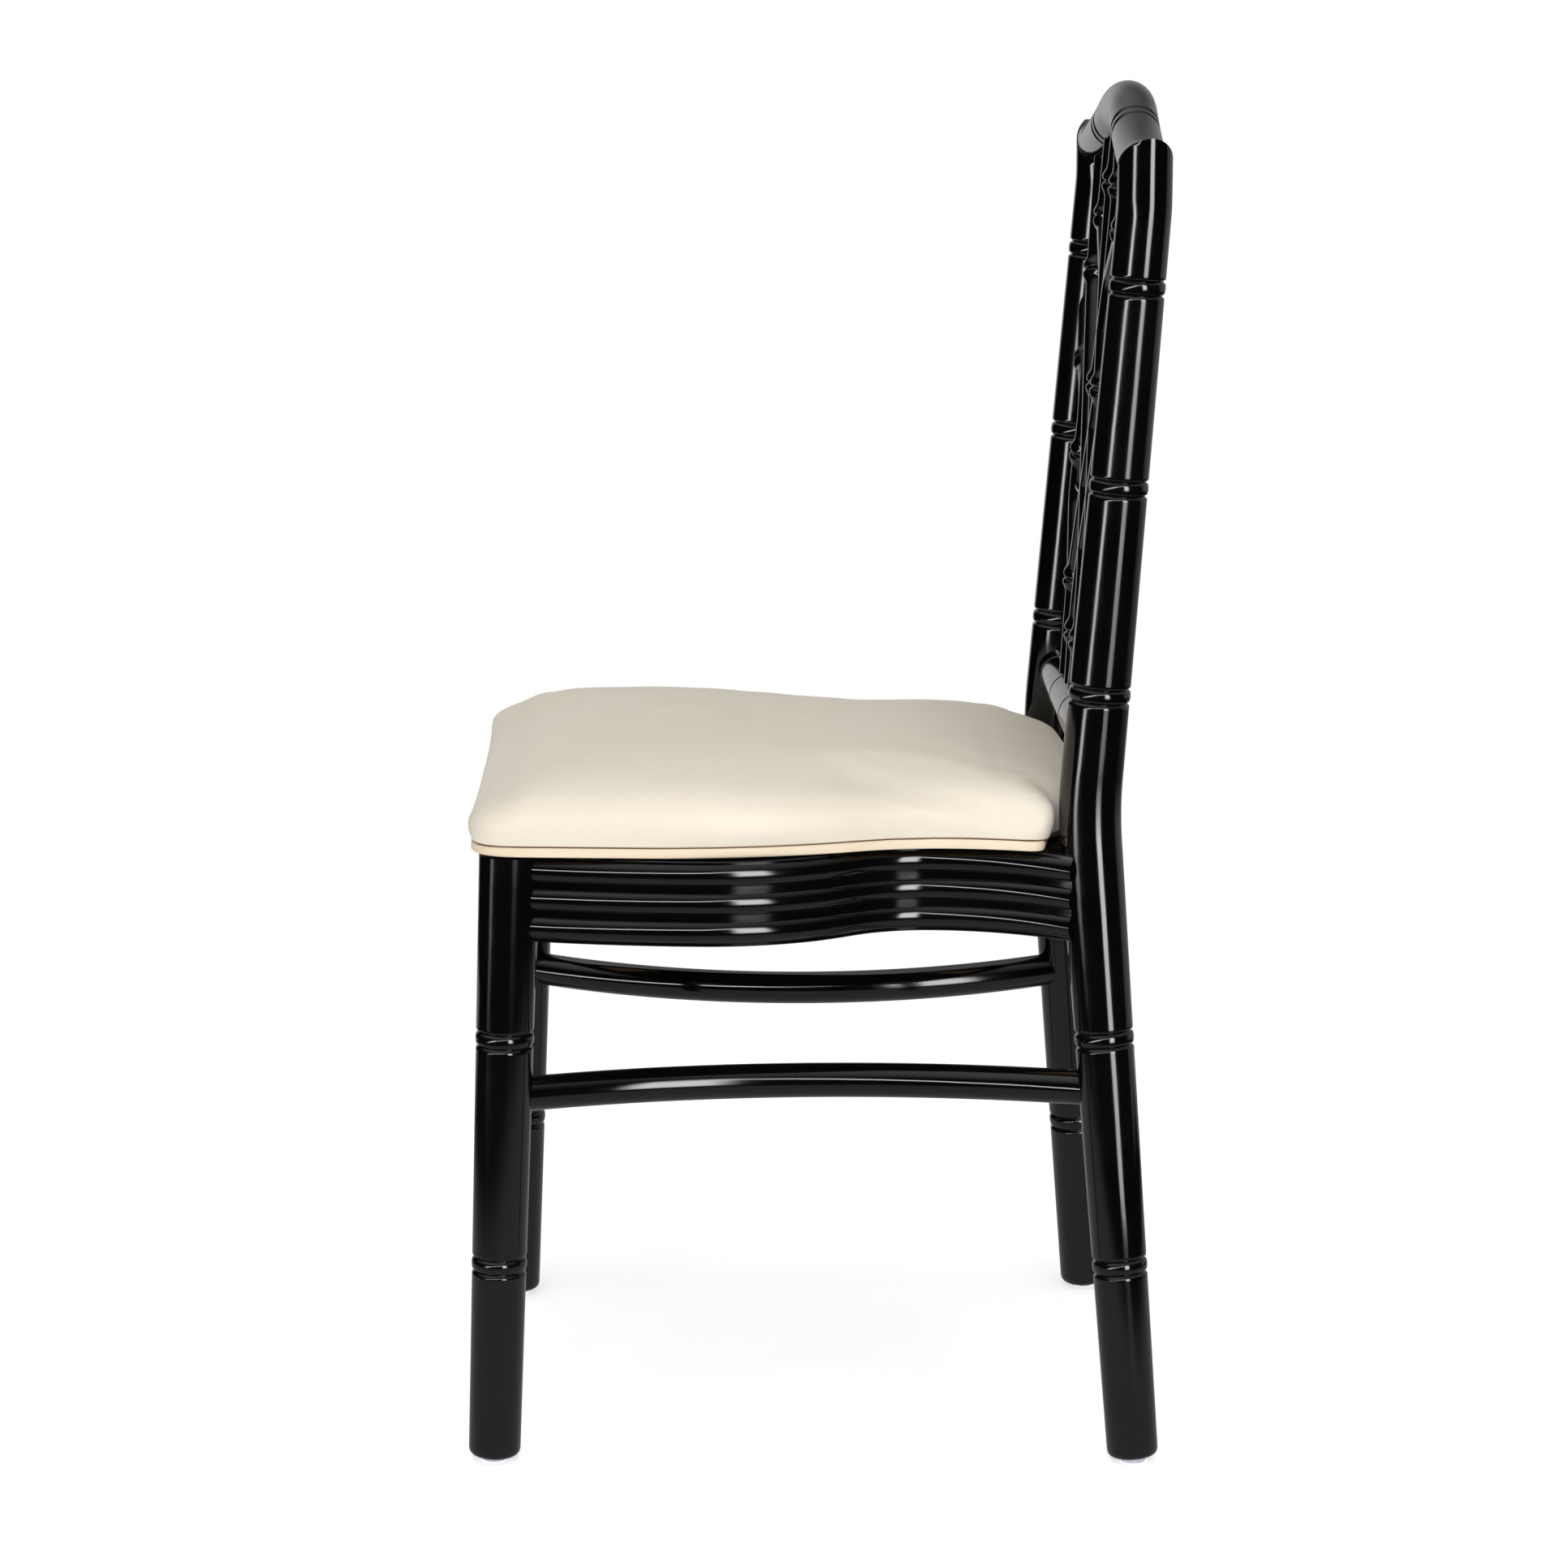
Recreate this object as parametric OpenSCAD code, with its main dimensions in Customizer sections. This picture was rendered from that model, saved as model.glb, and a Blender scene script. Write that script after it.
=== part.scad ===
// Banquet chair of lacquered wood turned to look like bamboo, with a removable seat pad.
// Frame: X across the chair (+X is the sitter's left), the chair faces -Y, Z up, floor at Z = 0.

/* [Front legs] */
// Distance of each front leg's axis from the middle
front_leg_x = 185; // [165:1:210]
// Place of the front legs' axis on the floor
front_foot_y = -217.2; // [-235:0.1:-195]
// Forward rake of the front legs in degrees
front_rake = 2.05; // [0:0.05:4]
// Diameter of a front leg at the floor
front_foot_d = 35; // [30:0.5:40]
// Diameter of a front leg at the seat
front_top_d = 40.2; // [34:0.1:46]
// Heights of the front legs' turned rings
front_ring_low = 139; // [100:1:180]
front_ring_high = 295; // [250:1:320]

/* [Rear posts] */
// Distance of each rear post's axis from the middle, above the knee
rear_post_x = 160; // [145:1:180]
// Distance of each rear post's axis from the middle, on the floor
rear_foot_x = 196.7; // [170:0.1:215]
// Place of the rear posts' axis on the floor
rear_foot_y = 215.8; // [195:0.5:235]
// Diameter of a rear post at the floor
rear_foot_d = 34.4; // [30:0.2:40]
// Height where the post bends
knee_z = 443; // [442:0.5:445]
// Depth where the post bends
knee_y = 182.9; // [175:0.1:192]
// Diameter of the post at the bend
knee_d = 41.6; // [38:0.1:45]
// Radius of the bend
knee_bend = 275; // [200:5:280]
// Height where the post turns upright again under the crest
neck_z = 842; // [830:1:846]
// Depth where the post turns upright
neck_y = 214; // [206:0.1:222]
// Radius of that upper bend
neck_bend = 150; // [100:10:300]
// Diameter of the post under the crest
post_top_d = 35.8; // [32:0.1:39]
// Heights of the rear posts' turned rings
rear_ring_floor = 135; // [100:1:180]
rear_ring_low = 289.5; // [250:0.5:315]
rear_ring_seat = 521.5; // [510:0.5:540]
rear_ring_mid = 659.5; // [630:0.5:690]
rear_ring_top = 790.5; // [770:0.5:800]

/* [Turned rings] */
// Distance between the two V cuts of a ring
ring_pitch = 9.5; // [7:0.1:12]
// Width of a V cut
ring_cut_w = 3.5; // [2:0.1:5]
// Depth of a V cut
ring_cut_h = 1.8; // [0.8:0.1:2.6]

/* [Crest rail] */
// Diameter of the crest rail
crest_d = 33; // [30:0.1:34.5]
// Height of the crest rail's axis in the middle
crest_mid_z = 900.5; // [892:0.5:908]
// Place of its axis in the middle
crest_mid_y = 217.9; // [214:0.1:222]
// Radius of its arched middle
crest_sweep = 145; // [120:5:260]
// Slope at the ends of the arched middle in degrees
crest_slope = 17.5; // [12:0.5:22]
// Radius of the hollow stretches towards the posts
crest_hollow = 800; // [500:20:2000]
// Backward lean of the crest's arch in degrees
crest_lean = 7; // [0:0.5:14]
// Slope of the mitre from side to side in degrees
mitre_slope = 44; // [38:1:52]
// Slope of the mitre from front to back in degrees
mitre_tilt = 6; // [0:1:20]
// Width of a fine V cut
v_w = 4.8; // [2:0.2:5.4]
// Depth of a fine V cut
v_depth = 2; // [1:0.1:2.4]
// Distance of each pair of V cuts from the middle
crest_ring_x = 72; // [66:1:110]
// Distance between the two V cuts on the crest
crest_ring_pitch = 11; // [6:0.1:14]

/* [Lower back rail] */
// Height of the lower back rail's axis
back_rail_z = 485; // [484:0.5:492]
// Diameter of the lower back rail
back_rail_d = 31; // [24:0.5:33]
// Number of V cuts along it
back_rail_cuts = 4; // [2:2:6]
// Distance between neighbouring V cuts
back_rail_pitch = 78; // [50:1:90]

/* [Back lattice] */
// Diameter of a bamboo stick
stick_d = 17; // [14:0.5:19]
// Diameter of a knot
knot_d = 22; // [21:0.5:26]
// How much thinner a stick is that butts against another
stick_step = 0.4; // [0.2:0.1:0.8]
// Diameter of the tenon on a stick's end
tenon_d = 9; // [6:0.5:11]
// Length of the tenon past the joint
tenon_l = 9; // [5:0.5:12]

/* [Seat frame] */
// Height of the rails' lower edge, over the origin
rail_z = 359.5; // [348:0.5:372]
// Height of a seat rail
rail_h = 57.5; // [52:0.5:62]
// Thickness of a seat rail with its reeds
rail_t = 24; // [20:0.5:28]
// Fall of the seat towards the back in degrees
seat_fall = 0.8; // [0:0.1:1.5]
// Radius of a reed
reed_r = 9.2; // [8.2:0.1:9.3]
// How far a reed stands out
reed_rise = 3.5; // [2:0.1:5]
// Outer face of the side rails at their widest
bulge_x = 208.5; // [203:0.5:214]
// Depth where the side rails are widest
bulge_y = -78; // [-95:1:-60]
// Outer face of the side rails at the waist
waist_x = 153.5; // [150:0.5:164]
// Depth of the waist
waist_y = 80; // [70:1:90]
// Plan radius of a side rail in front of its widest place
front_sweep = 560; // [460:10:700]
// Plan radius of a side rail behind its widest place
bulge_sweep = 168; // [150:1:185]
// Plan radius of a side rail behind its waist
flare_sweep = 150; // [130:1:180]
// Outer face of the front rail at its middle
front_rail_y = -213.5; // [-217:0.5:-208]
// Plan radius of the front rail's hollow
front_rail_sweep = 2600; // [2000:100:5000]
// Middle of the rear rail
rear_rail_y = 184; // [180:0.5:188]
// Height of a corner block
block_h = 34; // [26:1:40]
// Thickness of the seat panel
panel_t = 12; // [9:0.5:15]
// Gap round the seat panel
panel_gap = 0.5; // [0.3:0.1:1]

/* [Stretchers] */
// Diameter of a side stretcher
stretcher_d = 23.5; // [20:0.5:27]
// Height of a side stretcher's ends
stretcher_z = 254.5; // [247:0.5:263]
// How far a stretcher bows towards the middle
stretcher_bow = 49; // [30:1:55]
// How far its middle hangs lower than its ends
stretcher_drop = 4.5; // [0:0.5:8]
// Diameter of its tenons
stretcher_tenon_d = 16; // [12:0.5:18]

/* [Fasteners] */
// Diameter of a rail dowel
dowel_d = 8; // [6:0.5:10]
// Length of a rail dowel
dowel_l = 32; // [26:1:34]
// Height of the dowel pair's middle over the rail's lower edge
dowel_mid = 28; // [24:1:32]
// Distance between the two dowels of a joint
dowel_pitch = 26; // [22:1:32]
// Clearance round a dowel, a tenon or a nail
peg_gap = 0.1; // [0.05:0.05:0.2]
// Shank diameter of a wood screw
screw_d = 4; // [3:0.5:5]
// Length of a wood screw
screw_l = 30; // [25:1:32]

/* [Glides] */
// Diameter of a glide
glide_d = 17; // [14:0.5:22]
// Height of a glide
glide_h = 3.8; // [3:0.1:6]
// Shank diameter of the glide's nail
nail_d = 2.6; // [2:0.1:3.4]
// Length of the glide's nail
nail_l = 20; // [14:1:26]

/* [Seat pad] */
// Height of the pad without its crown
pad_h = 45; // [36:0.5:52]
// Rise of the pad's crown
pad_crown = 9.5; // [4:0.5:14]
// Widest place of the pad near its front
pad_wide_x = 208.5; // [202:0.5:212]
// Depth where the pad is widest
pad_wide_y = -115; // [-125:1:-100]
// Half width of the pad at its waist
pad_waist_x = 167.5; // [162:0.5:172]
// Depth of the pad's waist
pad_waist_y = 90; // [80:1:100]
// Plan radius of the pad behind its widest place
pad_sweep = 372; // [340:2:400]
// Plan radius of the pad behind its waist
pad_flare = 205; // [180:5:300]
// Front edge of the pad at its corners
pad_front_y = -232.8; // [-238:0.1:-226]
// Back edge of the pad at its corners
pad_back_y = 161; // [155:0.5:162.5]
// How much the front edge is hollow
pad_front_bow = 3; // [1:0.5:8]
// How much the back edge stands out between the posts
pad_back_bow = 13; // [4:0.5:14]
// Corner radii of the pad, in front and behind
pad_front_r = 32; // [22:1:38]
pad_back_r = 18; // [14:1:22]
// How far the pad is drawn in at its lower edge
pad_tuck = 5.5; // [4:0.5:9]
// Thickness of the pad's cover
cover_t = 1.2; // [0.8:0.1:2]
// Thickness of the pad's board
board_t = 6; // [4:0.5:8]
// Thickness of one half of the hook and loop tape
tape_t = 0.7; // [0.5:0.1:1.2]
// Width of the hook and loop tape
tape_w = 25; // [16:1:38]
// Air gap between the two halves at rest
tape_gap = 0.2; // [0.1:0.1:0.4]
// Height of the band sewn round the pad's lower edge
hem_h = 6.5; // [4:0.5:9]
// How far the band stands out from the pad
hem_out = 1.4; // [1:0.1:2.4]
// Width of the cover's flap under the board
flap_w = 28; // [22:1:36]
// Length of a staple's crown
staple_w = 10; // [7:0.5:13]
// Thickness of a staple's wire
staple_t = 0.6; // [0.5:0.05:0.7]
// Length of a staple's legs
staple_l = 5; // [4:0.5:6]

/* [Hidden] */
$fn = 64;
black = [0.02, 0.02, 0.024];
wood = [0.72, 0.56, 0.38];
steel = [0.7, 0.7, 0.72];
ivory = [0.95, 0.92, 0.84];
foam = [0.93, 0.86, 0.6];
fibre = [0.12, 0.12, 0.13];
plastic = [0.8, 0.8, 0.88];

// Vectors and the two places where the posts bend
up = [0, 0, 1];
function unit(v) = v / norm(v);
knee = [rear_post_x, knee_y, knee_z];
foot = [rear_foot_x, rear_foot_y, 0];
neck = [rear_post_x, neck_y, neck_z];
shin = unit(knee - foot);
spine = unit(neck - knee);
function bend_angle(a, b) = acos(a * b);
knee_reach = knee_bend * tan(bend_angle(shin, spine) / 2);
neck_reach = neck_bend * tan(bend_angle(spine, up) / 2);

// The crest's axis: an arch between two hollow arcs, in a plane that leans back
crest_up = [0, sin(crest_lean), cos(crest_lean)];
crest_mid = [0, crest_mid_y, crest_mid_z];
arch_half = crest_sweep * sin(crest_slope);
arch_fall = crest_sweep * (1 - cos(crest_slope));
function hollow_slope(x) = asin(sin(crest_slope) - (x - arch_half) / crest_hollow);
function crest_fall(x) =
    x < arch_half
        ? crest_sweep - sqrt(crest_sweep * crest_sweep - x * x)
        : arch_fall + crest_hollow * (cos(hollow_slope(x)) - cos(crest_slope));
function crest_slope_at(x) = x < arch_half ? asin(x / crest_sweep) : hollow_slope(x);
function crest_at(x) = crest_mid + [x, 0, 0] - crest_up * crest_fall(x);
crest_reach = rear_post_x + 18;
mitre_at = [rear_post_x, neck_y, crest_at(rear_post_x)[2] + 3];
mitre_normal = unit([-tan(mitre_slope), -tan(mitre_tilt), 1]);

// The lattice lies in a plane from the lower back rail to the crest
back_rail_y = knee_y + (neck_y - knee_y) * (back_rail_z - knee_z) / (neck_z - knee_z) + 1;
lattice_top = crest_at(60);
lattice_lean = atan2(lattice_top[1] - back_rail_y, lattice_top[2] - back_rail_z);
stick_r = stick_d / 2;

// Points of the lattice: across, height above the floor, and 1 for a knot
arch_path = [[60, crest_at(60)[2], 0], [68, 818, 1], [16, 783, 0], [-16, 709, 1], [8, 665, 0], [62, 567, 1],
    [54, back_rail_z, 0]];
eye_path = [[10, crest_at(10)[2], 0], [24, 848, 1], [17, 784, 0]];
long_path = [[127, crest_at(127)[2], 0], [110, 778, 1], [-10, 579, 0], [-20, 534, 1], [-10, back_rail_z, 0]];
side_path = [[rear_post_x - 3, 772, 0], [125, 713, 1], [76, 690, 0], [94, 651, 1], [101, 619, 0],
    [62, 567, 0]];

module frame(o, x, y, z) {
    multmatrix([[x[0], y[0], z[0], o[0]], [x[1], y[1], z[1], o[1]], [x[2], y[2], z[2], o[2]], [0, 0, 0, 1]])
        children();
}

// Stands the children's Z axis along a direction
module along(o, dir) {
    z = unit(dir);
    side = abs(z[0]) < 0.9 ? unit(cross([1, 0, 0], z)) : unit(cross([0, 1, 0], z));
    frame(o, cross(side, z), side, z) children();
}

// A round bend between two directions, with its corner at o
module bend(o, a, b, radius, d) {
    n = unit(cross(a, b));
    inward = cross(n, a);
    centre = o - a * radius * tan(bend_angle(a, b) / 2) + inward * radius;
    frame(centre, -inward, a, n)
        rotate_extrude(angle = bend_angle(a, b), $fn = 180) translate([radius, 0]) circle(d = d);
}

// Points of one turned ring: two V cuts with a rounded bead between them
function ring(s, r) = [
    for (side = [-1, 1])
        each side < 0
            ? [[r, s - ring_pitch / 2 - ring_cut_w / 2], [r - ring_cut_h, s - ring_pitch / 2],
               [r - 0.15, s - ring_pitch / 2 + ring_cut_w / 2], [r + 0.25, s]]
            : [[r - 0.15, s + ring_pitch / 2 - ring_cut_w / 2], [r - ring_cut_h, s + ring_pitch / 2],
               [r, s + ring_pitch / 2 + ring_cut_w / 2]]
];

// A turned length from s = a to s = b, with rings and eased ends; its first end may be rounded
ease = [0.2, 0.6];
module turned(a, b, da, db, rings, rounding = 0) {
    function r(s) = (da + (db - da) * (s - a) / (b - a)) / 2;
    rotate_extrude() polygon(concat(
        [[0, a]],
        rounding > 0
            ? [[r(a) - rounding, a], [r(a) - rounding * 0.29, a + rounding * 0.29], [r(a), a + rounding]]
            : [[r(a) - ease[0], a], [r(a), a + ease[1]]],
        [for (s = rings) each ring(s, r(s))],
        [[r(b), b - ease[1]], [r(b) - ease[0], b], [0, b]]
    ));
}

// Lengths of one piece run into each other by lap; one of the two is slimmer by step
lap = 1.5;
step = 0.05;
function lap_turn(radius) = lap / radius * 180 / PI;

// Puts the children on the seat's sloping plane; Z = 0 is the rails' lower edge
module on_seat(z = 0) {
    translate([0, 0, rail_z]) rotate([-seat_fall, 0, 0]) translate([0, 0, z]) children();
}

module mirrored(side) {
    if (side > 0) children();
    else mirror([1, 0, 0]) children();
}

// Blocks larger than the chair: everything above the floor glides, and everything below the seat's top
big = 1000;
module above_glides() { translate([-big / 2, -big / 2, glide_h]) cube(big); }
module below_seat_top() { on_seat(rail_h - big) translate([-big / 2, -big / 2, 0]) cube(big); }

// Front leg, at +X
leg_up = [0, sin(front_rake), cos(front_rake)];
leg_foot = [front_leg_x, front_foot_y, 0];
function leg_at(z) = leg_foot + leg_up * z / cos(front_rake);

// The leg is turned a little longer than it ends, and its plain copy reaches well past the rails
leg_spare = 20;
plain_spare = 60;
leg_l = rail_z + rail_h + leg_spare;
plain_top_d = front_foot_d + (front_top_d - front_foot_d)
    * (rail_z + rail_h + plain_spare - glide_h) / (leg_l - glide_h);

module leg_solid() {
    intersection() {
        along(leg_foot, leg_up)
            turned(glide_h, leg_l, front_foot_d, front_top_d, [front_ring_low, front_ring_high], 5);
        above_glides();
        below_seat_top();
    }
}

// The same leg without rings, for what is coped onto it
module leg_plain() {
    along(leg_foot, leg_up) turned(glide_h, rail_z + rail_h + plain_spare, front_foot_d, plain_top_d, []);
}

module front_leg(side) {
    color(black) mirrored(side) difference() {
        leg_solid();
        rail_dowel_set(peg_gap);
        stretcher_tenons(peg_gap);
        nail_at(leg_foot, peg_gap);
    }
}

// Rear post, at +X: a turned shin, the bend at the seat, a turned back and the bend under the crest
shin_l = norm(knee - foot) - knee_reach + lap;
back_l = norm(neck - knee) - neck_reach + lap;

// The shin and the back without rings, for what is coped onto them
module shin_plain() { along(foot, shin) turned(glide_h, shin_l, rear_foot_d, knee_d, []); }
module back_plain() { along(knee, spine) turned(knee_reach - lap, back_l, knee_d, post_top_d, []); }

module post_solid() {
    intersection() {
        union() {
            along(foot, shin)
                turned(glide_h, shin_l, rear_foot_d, knee_d,
                    [rear_ring_floor / shin[2], rear_ring_low / shin[2]], 5);
            bend(knee, shin, spine, knee_bend, knee_d - 2 * step);
            along(knee, spine)
                turned(knee_reach - lap, back_l, knee_d, post_top_d,
                    [for (z = [rear_ring_seat, rear_ring_mid, rear_ring_top]) (z - knee_z) / spine[2]]);
            bend(neck, spine, up, neck_bend, post_top_d - 2 * step);
            along(neck, up) turned(neck_reach - lap, neck_reach + plain_spare, post_top_d, post_top_d, []);
        }
        above_glides();
        along(mitre_at, mitre_normal) translate([0, 0, -2 * big]) cylinder(r = big, h = 2 * big);
    }
}

module rear_post(side) {
    color(black) mirrored(side) difference() {
        post_solid();
        rail_dowel_set(peg_gap);
        stretcher_tenons(peg_gap);
        crest_dowel(peg_gap);
        nail_at(foot, peg_gap);
        back_rail_tenons(peg_gap);
        stick_tenon(side_path, 0, peg_gap);
    }
}

// Crest rail: a round rod with an arched middle and hollow ends, mitred onto the posts
module crest_frame(o) { frame(o, [1, 0, 0], crest_up, cross([1, 0, 0], crest_up)) children(); }

module crest_rod() {
    crest_frame(crest_mid - crest_up * crest_sweep)
        rotate([0, 0, 90 - crest_slope]) rotate_extrude(angle = 2 * crest_slope, $fn = 180)
            translate([crest_sweep, 0]) circle(d = crest_d + 2 * step);
    turn = crest_slope - hollow_slope(crest_reach) + lap_turn(crest_hollow);
    for (side = [1, -1]) mirrored(side)
        crest_frame(crest_mid + [1, 0, 0] * (crest_sweep + crest_hollow) * sin(crest_slope)
            + crest_up * ((crest_sweep + crest_hollow) * cos(crest_slope) - crest_sweep))
            rotate([0, 0, 270 - crest_slope - lap_turn(crest_hollow)]) rotate_extrude(angle = turn, $fn = 180)
                translate([crest_hollow, 0]) circle(d = crest_d);
}

module v_cut(r) {
    over = 1;
    spread = v_w / 2 * (v_depth + over) / v_depth;
    rotate_extrude() polygon([[r - v_depth, 0], [r + over, spread], [r + over, -spread]]);
}

module crest_cut(x) {
    slope = crest_slope_at(x);
    along(crest_at(x), [cos(slope), 0, 0] - crest_up * sin(slope)) v_cut(crest_d / 2);
}

module crest_rail() {
    color(black) difference() {
        crest_rod();
        for (side = [1, -1]) mirrored(side) {
            along(mitre_at, -mitre_normal) cylinder(r = 60, h = 60);
            for (k = [-1, 1]) crest_cut(crest_ring_x + k * crest_ring_pitch / 2);
            crest_dowel(peg_gap);
            for (path = [arch_path, eye_path, long_path]) stick_tenon(path, 0, peg_gap);
        }
    }
}

// Dowel across the mitre, at +X
module crest_dowel(gap = 0) {
    along(mitre_at, -mitre_normal)
        cylinder(r = dowel_d / 2 + gap, h = dowel_l * 0.75 + 2 * gap, center = true);
}

module crest_dowels() {
    color(wood) for (side = [1, -1]) mirrored(side) crest_dowel();
}

// Lower back rail: a straight round rod with V cuts and a tenon at each end
module back_rail_tenons(gap = 0) {
    translate([rear_post_x - 32, back_rail_y, back_rail_z]) rotate([0, 90, 0])
        cylinder(r = stretcher_tenon_d / 2 + gap, h = 32 + gap);
}

module back_rail_rod() {
    translate([0, back_rail_y, back_rail_z]) rotate([0, 90, 0])
        cylinder(d = back_rail_d, h = 2 * rear_post_x, center = true);
}

module lower_back_rail() {
    color(black) difference() {
        union() {
            difference() {
                back_rail_rod();
                for (side = [1, -1]) mirrored(side) back_plain();
                for (k = [0 : back_rail_cuts - 1])
                    translate([(k - (back_rail_cuts - 1) / 2) * back_rail_pitch, back_rail_y, back_rail_z])
                        rotate([0, 90, 0]) v_cut(back_rail_d / 2);
            }
            for (side = [1, -1]) mirrored(side) back_rail_tenons();
        }
        for (side = [1, -1]) mirrored(side)
            for (path = [arch_path, long_path]) stick_tenon(path, len(path) - 1, peg_gap);
    }
}

// Lattice: a point of a path in the chair's frame
function in_lattice(p) = [p[0], back_rail_y + (p[1] - back_rail_z) * tan(lattice_lean), p[1]];

module stick_body(path, r) {
    for (i = [0 : len(path) - 2]) {
        a = in_lattice(path[i]);
        b = in_lattice(path[i + 1]);
        along(a, b - a) cylinder(r = r, h = norm(b - a));
    }
    for (i = [1 : len(path) - 2])
        translate(in_lattice(path[i])) sphere(r = path[i][2] > 0 ? knot_d / 2 : r + 0.4);
}

// Where a path's end leaves the rail or post that it is let into: the tenon runs on past this place
function inner(path, end) = in_lattice(path[end == 0 ? 1 : end - 1]);
function joint_depth(path, end) =
    end > 0 ? back_rail_d / 2 : (path == side_path ? knee_d / 2 : crest_d / 2);

module stick_tenon(path, end, gap = 0) {
    p = in_lattice(path[end]);
    dir = unit(p - inner(path, end));
    start = p - dir * (joint_depth(path, end) + 8);
    along(start, dir) cylinder(r = tenon_d / 2 + gap, h = 8 + tenon_l + gap);
}

// Half of the children: the half before the lattice's plane, or the one behind it
module half(front) {
    intersection() {
        children();
        translate([0, back_rail_y, back_rail_z]) rotate([-lattice_lean, 0, 0])
            translate([-300, front ? -100 : 0, -100]) cube([600, 100, 700]);
    }
}

// A stick is let into the rails and posts at its ends; its children are cut from it at its crossings
module stick(path, r, ends) {
    difference() {
        stick_body(path, r);
        crest_rod();
        back_rail_rod();
        back_plain();
        children();
    }
    for (end = ends) stick_tenon(path, end);
}

arch_r = [stick_r, stick_r - stick_step / 2];
long_r = [stick_r - stick_step, stick_r - 1.5 * stick_step];
function other(side) = side > 0 ? 1 : 0;
function own(side) = side > 0 ? 0 : 1;

module arch_stick(side) {
    color(black) mirrored(side)
        stick(arch_path, arch_r[own(side)], [0, len(arch_path) - 1]) {
            half(side < 0) mirror([1, 0, 0]) stick_body(arch_path, arch_r[other(side)]);
            half(false) stick_body(long_path, long_r[own(side)]);
        }
}

module eye_stick(side) {
    color(black) mirrored(side)
        stick(eye_path, stick_r - stick_step, [0]) {
            stick_body(arch_path, arch_r[own(side)]);
        }
}

module long_stick(side) {
    color(black) mirrored(side)
        stick(long_path, long_r[own(side)], [0, len(long_path) - 1]) {
            half(side < 0) mirror([1, 0, 0]) stick_body(long_path, long_r[other(side)]);
            half(true) stick_body(arch_path, arch_r[own(side)]);
        }
}

module side_stick(side) {
    color(black) mirrored(side)
        stick(side_path, stick_r - 2 * stick_step, [0]) {
            stick_body(arch_path, arch_r[own(side)]);
            stick_body(long_path, long_r[own(side)]);
        }
}

// Reeded section of a rail: its outermost face on x = 0, its wood at negative x
reeds = 3;
module rail_section(slim = 0) {
    translate([slim - rail_t, slim]) square([rail_t - reed_rise - 2 * slim, rail_h - 2 * slim]);
    for (k = [0 : reeds - 1]) translate([-reed_r, (k + 0.5) * rail_h / reeds]) circle(r = reed_r - slim);
}

// One arc of a rail: centre, radius of its outer face, first and last angle, hollow = -1 when the centre
// is outside
module rail_arc(centre, radius, from, to, hollow = 1, slim = 0) {
    translate([centre[0], centre[1], 0]) rotate([0, 0, from]) rotate_extrude(angle = to - from, $fn = 180)
        translate([radius, 0]) mirrored(hollow) rail_section(slim);
}

// Where the post stands at the rails' dowels
post_joint = knee - shin * (knee_z - rail_z - dowel_mid) / shin[2];

// The side rail's outer face turns over between its widest place and its waist
sweep_turn = 2 * atan((bulge_x - waist_x) / (waist_y - bulge_y));
waist_sweep = (waist_y - bulge_y) / sin(sweep_turn) - bulge_sweep;
flare_end = post_joint[1] - knee_d / 2 + 2;
flare_turn = asin((flare_end - waist_y) / flare_sweep);
front_end = leg_at(rail_z)[1] - 6;
front_turn = asin((bulge_y - front_end) / front_sweep);

// Every other arc is slimmer by step, and runs into its neighbours
module side_rail_solid() {
    on_seat() {
        rail_arc([bulge_x - front_sweep, bulge_y], front_sweep, -front_turn, lap_turn(front_sweep), 1, step);
        rail_arc([bulge_x - bulge_sweep, bulge_y], bulge_sweep, 0, sweep_turn);
        rail_arc([waist_x + waist_sweep, waist_y], waist_sweep, 180 - lap_turn(waist_sweep),
            180 + sweep_turn + lap_turn(waist_sweep), -1, step);
        rail_arc([waist_x + flare_sweep, waist_y], flare_sweep, 180 - flare_turn, 180, -1);
    }
}

module side_rail(side) {
    color(black) mirrored(side) difference() {
        side_rail_solid();
        leg_plain();
        shin_plain();
        rail_dowel_set(peg_gap);
    }
}

front_rail_turn = asin(front_leg_x / front_rail_sweep);
module front_rail() {
    color(black) difference() {
        on_seat()
            rail_arc([0, front_rail_y - front_rail_sweep], front_rail_sweep, 90 - front_rail_turn,
                90 + front_rail_turn, -1);
        for (side = [1, -1]) mirrored(side) {
            leg_plain();
            rail_dowel_set(peg_gap);
            block_screw_set(peg_gap);
        }
    }
}

module rear_rail() {
    color(black) difference() {
        on_seat() translate([-rear_post_x, rear_rail_y + rail_t / 2, 0]) rotate([90, 0, 90])
            linear_extrude(2 * rear_post_x) rail_section();
        for (side = [1, -1]) mirrored(side) {
            shin_plain();
            rail_dowel_set(peg_gap);
            block_screw_set(peg_gap);
        }
    }
}

// Dowels at the four ends of the rails, at +X: middle of each joint, the way it lies, its shift up or down
leg_joint = leg_at(rail_z + dowel_mid);
flare_mid = flare_sweep + rail_t / 2;
flare_run = flare_end - waist_y;
flare_joint = [waist_x + flare_sweep - sqrt(flare_mid * flare_mid - flare_run * flare_run), flare_end,
    post_joint[2]];
dowel_shift = dowel_d / 2 + 1;
dowel_sets = [
    [leg_joint + [2, front_top_d / 2 - 3, 0], [0, 1, 0], -dowel_shift],
    [leg_joint + [3 - front_top_d / 2, 1.5, 0], [1, 0, 0], dowel_shift],
    [flare_joint - [3, 0, 0], unit([0.3, 0.95, 0]), -dowel_shift],
    [[post_joint[0] + 3 - knee_d / 2, rear_rail_y, post_joint[2]], [1, 0, 0], dowel_shift]
];

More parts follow.
